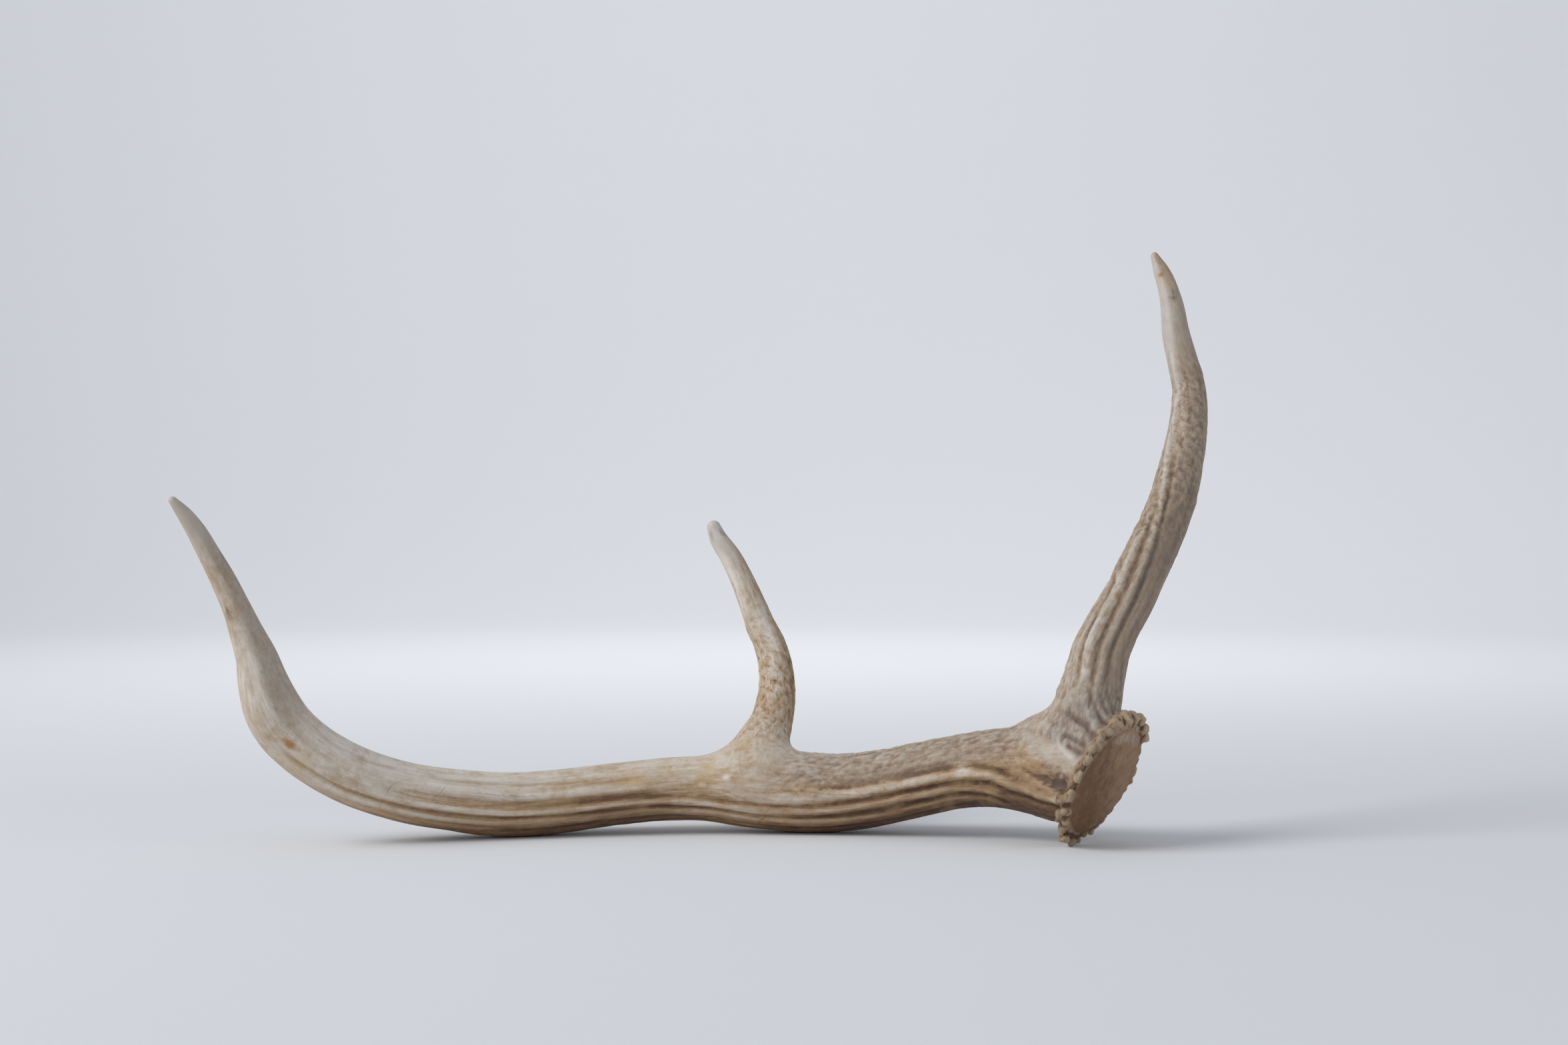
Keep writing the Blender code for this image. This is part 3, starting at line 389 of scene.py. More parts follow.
# Hairline cracks: limb, which way they run, strength, and places along with the angle round.
CRACKS = (
    ("beam", "across", 0.40, ((127.5, 12), (126.5, 28), (126, 45))),
    ("beam", "across", 0.30, ((133.5, -8), (134, 9))),
    ("beam", "across", 0.60, ((150, -30), (146.5, -17), (145.5, 4))),
    ("beam", "across", 0.45, ((169, -36), (166, -16), (163.5, -1))),
    ("beam", "along", 0.60, ((111, -44), (112.5, -40), (115, -42))),
    ("beam", "across", 0.60, ((250, -16), (252, -6), (251, 2), (254, 10))),
    ("beam", "across", 0.80, ((305, 18), (302, 28), (303, 36), (300, 44), (301, 56))),
    ("beam", "across", 0.45, ((262, -66), (264, -52), (263, -42))),
    ("beam", "along", 0.35, ((82, -3), (90, -6), (97, -8), (104, -10))),
    ("beam", "along", 0.45, ((180, -27), (190, -24), (200, -22), (208, -19))),
    ("brow", "along", 0.6, ((80, 64), (84, 60), (88, 54))),
    ("middle", "across", 0.5, ((53, -22), (54, -8), (52, 2))),
    ("middle", "across", 0.3, ((43, -40), (44, -10), (43, 10), (44, 40))),
    ("middle", "across", 0.7, ((105, -38), (104, -30), (105, -22))),
)
# A crack tapers out between these distances from its ends, and this far off it no longer counts.
CRACK_TAPER = (1.5, -2.0)
CRACK_FAR = 3.0

# The tine beyond this place across the view is the brow tine.
FORK_BETWEEN = 80.0

# The plain blank that the skin is grown from: how much larger its burr is, and its faces' size.
BLANK_SPARE = 5.0
BLANK_VOXEL = 1.25

# The point on the ground, below the middle of the antler, that is the origin.
ORIGIN = (-0.5, 0.2, 0.4)

# The camera's place in metres, and its lens.
CAMERA_PLACE = (0.027, -0.8752, 0.1265)
CAMERA_LENS = 50.0
CAMERA_SENSOR = 36.0
# The lights: place, the point that they face and the side of their square, in metres, and their
# spread in degrees.
MAIN_LIGHT = ((-1.96, -0.81, 1.66), (0.0, 0.0, 0.08), 1.35, 70.0)
FILL_LIGHT = ((1.4, -0.8, 0.9), (0.0, 0.0, 0.08), 1.2, 180.0)
BACK_LIGHT = ((0.0, 0.9, 1.5), (0.0, 3.0, 0.4), 1.0, 180.0)
# The floor's flat middle, as a share of its radius; the rest curves up.
FLAT_SHARE = 0.6


def paint(red, green, blue):
    """A display colour, 0 to 255, as Blender's linear values."""
    return tuple(((value / 255.0 + 0.055) / 1.055) ** 2.4 for value in (red, green, blue))


def unit(vectors):
    """Vectors of length one, from one vector or from rows of them."""
    vectors = np.asarray(vectors, dtype=float)
    return vectors / np.maximum(np.linalg.norm(vectors, axis=-1, keepdims=True), 1e-9)


def fade(values, low, high):
    """0 below low, 1 above high, smooth between; the other way round if low is above high."""
    share = np.clip((values - low) / (high - low), 0.0, 1.0)
    return share * share * (3.0 - 2.0 * share)


def band(values, stops):
    """0 to 1 between two stops and, if there are four, back to 0 between the other two."""
    share = fade(values, stops[0], stops[1])
    return share * fade(values, stops[3], stops[2]) if len(stops) == 4 else share


def read_off(table, places):
    """Values from a table of (place, value) stops, straight between them."""
    return np.interp(places, *zip(*table))


def placed(points):
    """Points measured from the part's origin."""
    return np.array(points, dtype=float) - ORIGIN


def running_length(rows):
    """Distance along a chain of points, from the first one."""
    steps = np.linalg.norm(np.diff(rows[:, :3], axis=0), axis=1)
    return np.concatenate(([0.0], np.cumsum(steps)))


def smooth_rows(stations, step=1.0):
    """Even rows along a smooth curve through given stations, and how far along each is."""
    rows = np.array(stations, dtype=float)
    chord = running_length(rows)
    slope = np.gradient(rows, chord, axis=0)
    fine = np.linspace(0.0, chord[-1], int(chord[-1] * 8))
    left = np.clip(np.searchsorted(chord, fine, side="right") - 1, 0, len(chord) - 2)
    span = (chord[left + 1] - chord[left])[:, None]
    t = (fine - chord[left])[:, None] / span
    curve = (2 * t ** 3 - 3 * t ** 2 + 1) * rows[left]
    curve += (t ** 3 - 2 * t ** 2 + t) * span * slope[left]
    curve += (3 * t ** 2 - 2 * t ** 3) * rows[left + 1]
    curve += (t ** 3 - t ** 2) * span * slope[left + 1]
    length = running_length(curve)
    even = np.linspace(0.0, length[-1], int(round(length[-1] / step)) + 1)
    return even, np.stack([np.interp(even, length, column) for column in curve.T], axis=1)


class Limb:
    """A tapering limb: a centre line with an oval section that is turned to face the front."""

    def __init__(self, stations, roundness):
        self.at, rows = smooth_rows(stations)
        self.centre = placed(rows[:, :3])
        self.wide = rows[:, 3]
        self.deep = rows[:, 3] * roundness
        self.along = unit(np.gradient(self.centre, self.at, axis=0))
        forward = np.array((0.0, -1.0, 0.0))
        self.front = unit(forward - (self.along @ forward)[:, None] * self.along)
        self.side = np.cross(self.along, self.front)

    def nearest_row(self, points, chunk=20000):
        """Index of the centre-line row that lies nearest to each point."""
        size = (self.centre ** 2).sum(axis=1)
        found = [np.argmin(size - 2.0 * (points[i:i + chunk] @ self.centre.T), axis=1)
                 for i in range(0, len(points), chunk)]
        return np.concatenate(found)

    def locate(self, points):
        """Place along the limb, angle round it, gap to its skin, way out and local radius."""
        row = self.nearest_row(points)
        offset = points - self.centre[row]
        slip = (offset * self.along[row]).sum(axis=1)
        at = np.clip(self.at[row] + slip, 0.0, self.at[-1])
        centre = np.stack([np.interp(at, self.at, column) for column in self.centre.T], axis=1)
        offset = points - centre
        reach = np.linalg.norm(offset, axis=1)
        to_side = (offset * self.side[row]).sum(axis=1)
        to_front = (offset * self.front[row]).sum(axis=1)
        angle = np.arctan2(to_side, to_front)
        wide = np.interp(at, self.at, self.wide)
        deep = np.interp(at, self.at, self.deep)
        radius = 1.0 / np.sqrt((np.cos(angle) / deep) ** 2 + (np.sin(angle) / wide) ** 2)
        return {"at": at, "angle": np.degrees(angle), "gap": reach - radius,
                "out": offset / np.maximum(reach, 1e-6)[:, None], "radius": radius,
                "grain": np.stack((self.at[row] + slip, to_front, to_side), axis=1)}


def blend(first, second, softness):
    """Union of two skins with a soft web between them; each is (gap, way out, share list)."""
    gap_a, out_a, share_a = first
    gap_b, out_b, share_b = second
    keep = np.clip(0.5 + 0.5 * (gap_b - gap_a) / softness, 0.0, 1.0)
    gap = gap_b * (1.0 - keep) + gap_a * keep - softness * keep * (1.0 - keep)
    out = out_b * (1.0 - keep)[:, None] + out_a * keep[:, None]
    shares = [share * keep for share in share_a] + [share * (1.0 - keep) for share in share_b]
    return gap, out, shares


class Burr:
    """The knobbed ring round the pedicle seal."""

    def __init__(self):
        self.centre = placed(SEAL_CENTRE)
        self.axis = unit(SEAL_AXIS)
        up = np.array((0.0, 0.0, 1.0))
        self.across = unit(np.cross(up, self.axis))
        self.rise = np.cross(self.axis, self.across)
        self.knobs = self.place_knobs()

    def point(self, behind, reach, angle):
        """A point by its distance behind the seal, reach from its axis and angle from its top."""
        turn = math.radians(angle)
        radial = math.cos(turn) * self.rise + math.sin(turn) * self.across
        return self.centre - behind * self.axis + reach * radial

    def place(self, points):
        """Distance behind the seal, angle from its top and reach from its axis."""
        offset = points - self.centre
        behind = -(offset @ self.axis)
        rise = offset @ self.rise
        across = offset @ self.across
        return {"at": behind, "angle": np.degrees(np.arctan2(across, rise)),
                "radius": np.hypot(rise, across)}

    def place_knobs(self):
        """The front knobs as listed, and the far ones spread along the rim."""
        knobs = [(self.point(behind, reach, angle), radius)
                 for behind, reach, angle, radius in FRONT_KNOBS]
        dice = random.Random(FAR_KNOBS["seed"])
        step = (FAR_KNOBS["to"] - FAR_KNOBS["from"]) / FAR_KNOBS["count"]
        for index in range(FAR_KNOBS["count"]):
            angle = FAR_KNOBS["from"] + step * (index + dice.uniform(0.2, 0.8))
            radius = FAR_KNOBS["radius"] * dice.uniform(0.75, 1.25)
            reach = self.rim(angle) - radius * 0.5
            knobs.append((self.point(radius + dice.uniform(0.2, 1.6), reach, angle), radius))
            knobs.append((self.point(radius + 3.2, reach - 0.4, angle + step * 0.5), radius))
        return knobs

    def faced(self, points, gap, out):
        """Gap and way out once the growth is cut off at the swelling face of the seal."""
        middle, edge, reach = SEAL_DOME
        place = self.place(points)
        past = middle + (edge - middle) * (place["radius"] / reach) ** 2 - place["at"]
        keep = np.clip(0.5 + 0.5 * (gap - past) / SEAL_SOFTNESS, 0.0, 1.0)
        joined = past * (1.0 - keep) + gap * keep + SEAL_SOFTNESS * keep * (1.0 - keep)
        return joined, self.axis * (1.0 - keep)[:, None] + out * keep[:, None]

    def rim(self, angle):
        """Reach of the plain rim at an angle from the top."""
        return read_off(BURR_RIM, angle)

    def disc(self, points):
        """Gap and way out for the plain disc that carries the knobs."""
        place = self.place(points)
        behind = place["at"]
        radial = points - self.centre + behind[:, None] * self.axis
        half = BURR_THICKNESS * 0.5
        past_rim = place["radius"] - (self.rim(place["angle"]) - BURR_EDGE)
        past_face = np.abs(behind - half) - (half - BURR_EDGE)
        corner = np.hypot(np.maximum(past_rim, 0.0), np.maximum(past_face, 0.0))
        gap = np.minimum(np.maximum(past_rim, past_face), 0.0) + corner - BURR_EDGE
        facing = np.sign(behind - half)[:, None] * -self.axis
        mixed = np.maximum(past_rim, 0.0)[:, None] * unit(radial)
        mixed = mixed + np.maximum(past_face, 0.0)[:, None] * facing
        inside = np.where((past_rim > past_face)[:, None], unit(radial), facing)
        out = np.where((corner > 1e-6)[:, None], unit(mixed), inside)
        return gap, out

    def skin(self, points):
        """Gap and way out for the disc with its knobs."""
        skin = (*self.faced(points, *self.disc(points)), [])
        for centre, radius in self.knobs:
            offset = points - centre
            reach = np.linalg.norm(offset, axis=1)
            knob = (reach - radius, offset / np.maximum(reach, 1e-6)[:, None], [])
            skin = blend(skin, knob, KNOB_BLEND)
        return skin[0], skin[1]


def round_trip(angles):
    """Angles brought between -180 and 180 degrees."""
    return (angles + 180.0) % 360.0 - 180.0


def beside(place, angle):
    """Distance round a limb from an angle to each place."""
    return np.radians(round_trip(place["angle"] - angle)) * place["radius"]


def ridge_relief(ridges, place, rise_only=False, sharpness=1.0):
    """Height that long ridges and furrows add at each place on a limb."""
    height = np.zeros(len(place["at"]))
    for rise, half_width, path in ridges:
        if rise_only and rise < 0.0:
            continue
        off = beside(place, read_off(path, place["at"]))
        inside = np.clip((place["at"] - path[0][0]) / RIDGE_START + 0.5, 0.0, 1.0)
        inside = inside * np.clip((path[-1][0] - place["at"]) / RIDGE_END + 0.5, 0.0, 1.0)
        gain = RIDGE_GAIN if rise > 0.0 else FURROW_GAIN
        narrow = sharpness if rise > 0.0 else sharpness * FURROW_SHARPNESS
        height += rise * gain * inside * np.exp(-0.5 * (off * narrow / half_width) ** 2)
    return height


def flute_relief(flutes, place):
    """Meandering flutes round a limb, fuller on the sides that face away from the front."""
    dice = random.Random(flutes["seed"])
    height = np.zeros(len(place["at"]))
    strength = np.clip((place["at"] - flutes["from"]) / FLUTE_START, 0.0, 1.0)
    strength = strength * np.clip((flutes["to"] - place["at"]) / FLUTE_END, 0.0, 1.0)
    away = (np.abs(place["angle"]) - FLUTE_SIDES[0]) / (FLUTE_SIDES[1] - FLUTE_SIDES[0])
    away = np.clip(away, flutes["front"], 1.0)
    for index in range(flutes["count"]):
        home = 360.0 * index / flutes["count"] + dice.uniform(-7.0, 7.0)
        sway = [(dice.uniform(3.0, 8.0), dice.uniform(60.0, 140.0), dice.uniform(0.0, 6.28))
                for _ in range(2)]
        middle = home + sum(reach * np.sin(place["at"] / pitch * 6.28 + phase)
                            for reach, pitch, phase in sway)
        depth = flutes["height"] * dice.uniform(0.6, 1.3)
        across = beside(place, middle) / flutes["half_width"]
        height -= depth * strength * away * np.exp(-0.5 * across ** 2)
    return height


def pearl_relief(pearls, place):
    """Scattered pearls and pits on a limb."""
    dice = random.Random(pearls["seed"])
    height = np.zeros(len(place["at"]))
    low, high = pearls["angles"]
    for _ in range(pearls["count"]):
        at = dice.uniform(pearls["from"], pearls["to"])
        angle = dice.uniform(low, high)
        radius = pearls["radius"] * dice.uniform(0.7, 1.3)
        rise = pearls["height"] * dice.choice((1.0, 0.8, -0.6))
        size = ((place["at"] - at) / (radius * 1.3)) ** 2 + (beside(place, angle) / radius) ** 2
        height += rise * np.exp(-0.7 * size)
    return height


def wormy(grain, size, stretch, seed):
    """Soft winding swells, about -1 to 1, drawn out along the grain."""
    shift = Vector((seed * 1.1, seed, seed * 0.6))
    scale = np.array((1.0 / stretch, 1.0, 1.0)) / size
    rows = [noise.noise(Vector(row) + shift) + 0.4 * noise.noise(Vector(row) * 2.1 - shift)
            for row in grain * scale]
    return np.array(rows)


def creases(grain, size, stretch, seed):
    """Narrow winding creases, 1 at their bottom, with broad swells between them."""
    return fade(np.abs(wormy(grain, size, stretch, seed)), 0.42, 0.0)


def patch(place, around, along, worn=None):
    """How far each place on a limb lies in a patch, 0 outside it to 1 inside."""
    share = np.ones(len(place["at"]))
    for values, stops in ((place["angle"], around), (place["at"], along)):
        if stops:
            share = share * band(values, stops)
    if worn:
        share = share * (1.0 - worn[0] * band(place["angle"], worn[1:]))
    return share


class Antler:
    """The whole skin: limbs, stem and burr blended into one growth, with its relief and marks."""

    names = ("stem", "beam", "brow", "middle")

    def __init__(self):
        self.burr = Burr()
        stem = [(*(self.burr.centre + ORIGIN - behind * self.burr.axis), half)
                for behind, half in STEM]
        self.stem = Limb(stem, 1.0)
        self.beam = Limb(BEAM_LINE, BEAM_ROUNDNESS)
        self.brow = Limb(BROW_LINE, BROW_ROUNDNESS)
        self.middle = Limb(MIDDLE_LINE, MIDDLE_ROUNDNESS)

    def limbs(self):
        """The limbs in the order that their places and shares are kept in."""
        return self.stem, self.beam, self.brow, self.middle

    def skin(self, points):
        """Gap to the blended skin, the way out of it, and each limb's place and share."""
        places = [limb.locate(points) for limb in self.limbs()]
        parts = [(place["gap"], place["out"], [np.ones(len(points))]) for place in places]
        whole = blend(parts[0], parts[1], STEM_BLEND)
        whole = blend(whole, parts[2], BROW_BLEND)
        whole = blend(whole, parts[3], MIDDLE_BLEND)
        gap, out, shares = whole
        near = np.linalg.norm(points - self.burr.centre, axis=1) < SEAL_RADIUS * 1.8
        if near.any():
            stub = self.burr.faced(points[near], gap[near], out[near])
            joined = blend((*stub, []), (*self.burr.skin(points[near]), []), KNOB_BLEND)
            gap[near] = joined[0]
            out[near] = joined[1]
        return gap, out, places, shares

    def settle(self, points, rounds=4):
        """Points moved onto the blended skin."""
        for _ in range(rounds):
            gap, out, _, _ = self.skin(points)
            steep = np.maximum((out ** 2).sum(axis=1), 0.25)
            points = points - (np.clip(gap, -3.0, 3.0) / steep)[:, None] * out
        return points

    def survey(self, points):
        """Everything that the relief and the finish are laid out by, at points on the skin."""
        _, _, places, shares = self.skin(points)
        stem = self.burr.place(points)
        near = np.hypot(stem["at"], stem["radius"])
        base = np.clip((STEM_REACH - near) / STEM_FADE, 0.0, 1.0)
        crisp = [np.clip(share * 1.6 - 0.6, 0.0, 1.0) * (1.0 - base) for share in shares]
        crisp[1] = np.clip((shares[0] + shares[1]) * 1.6 - 0.6, 0.0, 1.0) * (1.0 - base)
        crisp[0] = base
        by_brow = (points[:, 0] > FORK_BETWEEN)[:, None]
        tine_grain = np.where(by_brow, places[2]["grain"], places[3]["grain"])
        upper = band(stem["angle"], TINE_SIDE) * (1.0 - shares[3])
        tine_share = np.clip(shares[2] + shares[3] + shares[0] * upper, 0.0, 1.0)
        places[0] = stem
        return {"places": places, "crisp": crisp, "shares": shares,
                "beam_grain": places[1]["grain"], "tine_grain": tine_grain,
                "tine_share": fade(tine_share, 0.15, 0.85)}

    def woven(self, seen, pattern, size, stretch, seed, slant=0.0):
        """A pattern laid out in the grain of the beam and of the tines, each where it rules."""
        found = []
        for grain in (seen["beam_grain"], seen["tine_grain"]):
            laid = grain + np.outer(slant * grain[:, 2], (1.0, 0.0, 0.0))
            found.append(pattern(laid, size, stretch, seed))
        return found[0] + (found[1] - found[0]) * seen["tine_share"]

    def swayed(self, seen):
        """The limbs' places with their angles swayed a little, as ridges wander in bone."""
        sway = self.woven(seen, wormy, *SWAY)
        return [dict(place, angle=place["angle"] + 16.0 * sway / np.maximum(place["radius"], 4.0))
                for place in seen["places"]]

    def zone(self, seen, patches):
        """A broad mark, summed over its patches."""
        total = np.zeros(len(seen["tine_share"]))
        for limb, strength, *reach in patches:
            index = self.names.index(limb)
            share = patch(seen["places"][index], *reach)
            total += strength * seen["crisp"][index] * share
        return total

    def relief(self, seen, pit_depth):
        """Height of the relief at surveyed skin points, darkening of its pits and creases, its
        fine ridges.
        """
        stem, beam, brow, middle = self.swayed(seen)
        base, on_beam, on_brow, on_middle = seen["crisp"]
        fan = 0.25 + 0.75 * band(stem["angle"], FLUTED_SIDE)
        beads = self.woven(seen, wormy, *BEADS)
        swell = 1.0 + 0.6 * self.woven(seen, wormy, *SWELLS)
        height = base * (ridge_relief(STEM_RIDGES, stem) * swell + pearl_relief(STEM_PEARLS, stem)
                         + flute_relief(STEM_FLUTES, stem) * fan)
        height += on_beam * (ridge_relief(BEAM_RIDGES, beam) * swell
                             + flute_relief(BEAM_FLUTES, beam) + pearl_relief(BEAM_PEARLS, beam))
        height += on_brow * (ridge_relief(BROW_RIDGES, brow) * (1.15 + 0.35 * beads)
                             + flute_relief(BROW_FLUTES, brow) + pearl_relief(BROW_PEARLS, brow))
        height += on_middle * (flute_relief(MIDDLE_FLUTES, middle)
                               + pearl_relief(MIDDLE_PEARLS, middle))
        grooves = self.zone(seen, ZONES["grooves"])
        runs = self.woven(seen, wormy, *FINE_RIDGES)
        patchy = 0.85 + 0.5 * self.woven(seen, wormy, *WEAR)
        roughness = self.zone(seen, ZONES["rough"]) * patchy
        pebbles = self.woven(seen, wormy, *PEBBLES)
        creased = self.woven(seen, creases, *CREASES)
        pits = 0.2 + np.clip(1.1 * pebbles, -0.9, 0.5) - 0.5 * creased
        height += roughness * pit_depth * pits + FINE_RIDGE_HEIGHT * grooves * runs
        crease_darkening = roughness * np.clip(0.3 * creased - 1.2 * pebbles, 0.0, 1.0)
        clear = np.clip((stem["at"] - RELIEF_START) / RELIEF_RISE, 0.0, 1.0)
        return height * clear, crease_darkening * clear, grooves * clear


def knob_lumps(points):
    """Height of the rough lumps that cover the burr's knobs."""
    return sum(share * wormy(points, size, 1.0, seed)
               for size, share, seed in KNOB_LUMPS) - KNOB_SINK


def crack_marks(antler, seen):
    """Distance from the nearest hairline crack, and how open it is there."""
    count = len(seen["tine_share"])
    gap = np.full(count, CRACK_FAR)
    width = np.zeros(count)
    for limb, way, strength, path in CRACKS:
        index = antler.names.index(limb)
        place = seen["places"][index]
        ats = np.array([point[0] for point in path], dtype=float)
        angles = np.array([point[1] for point in path], dtype=float)
        if way == "across":
            off = place["at"] - np.interp(place["angle"], angles, ats)
            past = np.maximum(angles[0] - place["angle"], place["angle"] - angles[-1])
            past = np.radians(past) * place["radius"]
        else:
            off = beside(place, np.interp(place["at"], ats, angles))
            past = np.maximum(ats[0] - place["at"], place["at"] - ats[-1])
        closer = (np.abs(off) < np.abs(gap)) & (past < CRACK_TAPER[0])
        closer &= seen["shares"][index] > 0.4
        gap = np.where(closer, off, gap)
        width = np.where(closer, strength * fade(past, *CRACK_TAPER), width)
    return gap, width


def underside(place):
    """0 on top of the beam to 1 beneath it."""
    held, gone = BENEATH_REACH
    off = np.abs(round_trip(place["angle"] - BENEATH))
    return np.clip(1.0 - (off - held) / (gone - held), 0.0, 1.0)


def bone_tones(seen):
    """How dark each limb is before its streaks, 0 palest to 1 darkest, with some shade painted in.
    """
    stem, beam, brow, middle = seen["places"]
    # Painted shade, over its real stain, darkens the beam's underside.
    below = read_off(BEAM_UNDERSIDE_STAIN_AND_SHADE, beam["at"]) * underside(beam) ** 1.1
    # Painted shade, over the tine's own tone, darkens the brow tine's right side away from the
    # light.
    right = read_off(BROW_RIGHT_TONE_AND_SHADE, brow["at"]) * band(brow["angle"], BROW_SHADED_SIDE)
    tones = [read_off(STEM_TONES, stem["angle"]), read_off(BEAM_TONES, beam["at"]) + below,
             read_off(BROW_TONES, brow["at"]) + right, read_off(MIDDLE_TONES, middle["at"])]
    for limb, strength, *reach in TONE_ZONES:
        index = Antler.names.index(limb)
        tones[index] = tones[index] + strength * patch(seen["places"][index], *reach)
    return tones


def seal_and_burr(seen):
    """Shares of the seal's face and of the knobbed ring round it."""
    behind, reach = seen["places"][0]["at"], seen["places"][0]["radius"]
    near = reach < SEAL_RADIUS + 6.0
    seal = fade(behind, *FACE_DEPTH) * fade(reach, *FACE_REACH) * near
    return seal, fade(behind, *BURR_DEPTH) * (1.0 - seal) * near


def bone_marks(antler, seen, hollow, knob_hollow):
    """The masks that the finish is mixed from, each 0 to 1 over the skin."""
    stem, beam, brow, _ = seen["places"]
    base, on_beam, on_brow, _ = seen["crisp"]
    seal, burr = seal_and_burr(seen)
    marks = {name: antler.zone(seen, patches) for name, patches in ZONES.items()
             if name not in ("grooves", "rough")}

    stem_share = np.maximum(base, seen["shares"][0])
    shares = [stem_share] + [share * (1.0 - stem_share) for share in seen["shares"][1:]]
    tone = sum(share * tones for share, tones in zip(shares, bone_tones(seen)))
    tone = tone / np.maximum(sum(shares), 0.05)
    # The foot of the burr is darker: partly dirt, partly painted shade where the stem meets the
    # knobs.
    marks["tone"] = tone + BURR_FOOT_DIRT_AND_SHADE * band(stem["at"], BURR_FOOT) * stem_share
    crests = ((base * 0.85, STEM_RIDGES, stem, 2.2), (on_beam, BEAM_RIDGES, beam, 2.0),
              (on_brow * 1.3, BROW_RIDGES, brow, 1.8))
    marks["crest"] = sum(share * ridge_relief(ridges, place, rise_only=True, sharpness=sharpness)
                         for share, ridges, place, sharpness in crests)
    marks["hollow"] = hollow + knob_hollow * burr
    marks["tine"] = seen["tine_share"]
    marks["seal"] = seal
    marks["burr"] = burr
    marks["band"] = seal * band(stem["angle"], SEAL_BAND) * band(stem["radius"], SEAL_BAND_REACH)
    towards = stem["radius"] * np.cos(np.radians(stem["angle"] - STAIN_SIDE))
    marks["stain"] = (seal + burr) * band(towards, STAIN_REACH)

    for limb, kind, at, angle, half_length, half_width, strength in MARKS:
        index = antler.names.index(limb)
        place = seen["places"][index]
        size = ((place["at"] - at) / half_length) ** 2 + (beside(place, angle) / half_width) ** 2
        spot = seen["crisp"][index] * strength * np.exp(-0.7 * size)
        marks[kind] = marks.get(kind, 0.0) + spot
    marks = {name: np.clip(values, 0.0, 1.0) for name, values in marks.items()}
    marks["crack_gap"], marks["crack_width"] = crack_marks(antler, seen)
    return marks


def new_object(name, data):
    """An object in the scene for a mesh, a curve, a lamp or a lens."""
    body = bpy.data.objects.new(name, data)
    bpy.context.scene.collection.objects.link(body)
    return body


def new_mesh(name, sketch):
    """A mesh from a finished sketch."""
    mesh = bpy.data.meshes.new(name)
    sketch.to_mesh(mesh)
    sketch.free()
    return mesh


def evaluated_mesh(body):
    """The mesh that an object's modifiers make."""
    graph = bpy.context.evaluated_depsgraph_get()
    graph.update()
    return bpy.data.meshes.new_from_object(body.evaluated_get(graph))


def tube_mesh(name, limb, step=4):
    """A plain tapering tube along a limb, from a bevelled curve."""
    curve = bpy.data.curves.new(name, "CURVE")
    curve.dimensions = "3D"
    curve.bevel_depth = MM
    curve.bevel_resolution = 3
    curve.use_fill_caps = True
    tip = limb.centre[0] - limb.along[0] * limb.wide[0]
    stops = [(tip, limb.wide[0] * 0.7)]
    stops += [(limb.centre[row], limb.wide[row]) for row in range(0, len(limb.at), step)]
    spline = curve.splines.new("POLY")
    spline.points.add(len(stops) - 1)
    for point, (place, half_width) in zip(spline.points, stops):
        point.co = (*(place * MM), 1.0)
        point.radius = half_width
    guide = new_object(name, curve)
    mesh = evaluated_mesh(guide)
    bpy.data.objects.remove(guide)
    bpy.data.curves.remove(curve)
    return mesh


def one_skin(mesh, voxel):
    """A mesh rebuilt as one closed skin of even small faces."""
    body = new_object("antler_skin", mesh)
    remesh = body.modifiers.new("one_skin", "REMESH")
    remesh.mode = "VOXEL"
    remesh.voxel_size = voxel * MM
    result = evaluated_mesh(body)
    bpy.data.objects.remove(body)
    bpy.data.meshes.remove(mesh)
    return result


def joined_blank(antler):
    """Plain tubes for the limbs and a disc for the burr, joined into one closed skin."""
    sketch = bmesh.new()
    for name, limb in zip(antler.names, antler.limbs()):
        tube = tube_mesh(name, limb)
        sketch.from_mesh(tube)
        bpy.data.meshes.remove(tube)
    turn = Vector(antler.burr.axis).to_track_quat("Z", "Y").to_matrix().to_4x4()
    middle = antler.burr.point(BURR_THICKNESS * 0.5, 0.0, 0.0) * MM
    size = (SEAL_RADIUS + BLANK_SPARE) * MM
    bmesh.ops.create_cone(sketch, cap_ends=True, segments=48, radius1=size, radius2=size,
                          depth=(BURR_THICKNESS + BLANK_SPARE) * MM,
                          matrix=Matrix.Translation(middle) @ turn)
    bmesh.ops.remove_doubles(sketch, verts=sketch.verts, dist=0.00001)
    bmesh.ops.recalc_face_normals(sketch, faces=sketch.faces)
    return one_skin(new_mesh("antler_blank", sketch), BLANK_VOXEL)


def read_rows(items, name, width, kind=float):
    """Values of a mesh's points, edges or corners, one row for each."""
    flat = np.empty(len(items) * width, dtype=kind)
    items.foreach_get(name, flat)
    return flat.reshape(-1, width)


def read_points(mesh):
    """A mesh's points in millimetres."""
    return read_rows(mesh.vertices, "co", 3) / MM


def write_points(mesh, points):
    """Put points in millimetres back into a mesh."""
    mesh.vertices.foreach_set("co", (points * MM).ravel())
    mesh.update()


def edge_pairs(mesh):
    """The two ends of every edge, and how many edges meet at each point."""
    pairs = read_rows(mesh.edges, "vertices", 2, np.int64)
    return pairs, np.bincount(pairs.ravel(), minlength=len(mesh.vertices))


def evened(values, pairs, count, rounds):
    """Values at a mesh's points, each drawn half way to its neighbours' mean in every round."""
    values = np.array(values, dtype=float)
    columns = values.reshape(len(values), -1)
    first, second = pairs.T
    for _ in range(rounds):
        for column in columns.T:
            total = np.bincount(first, weights=column[second], minlength=len(column))
            total += np.bincount(second, weights=column[first], minlength=len(column))
            column += 0.5 * (total / count - column)
    return columns.reshape(values.shape)


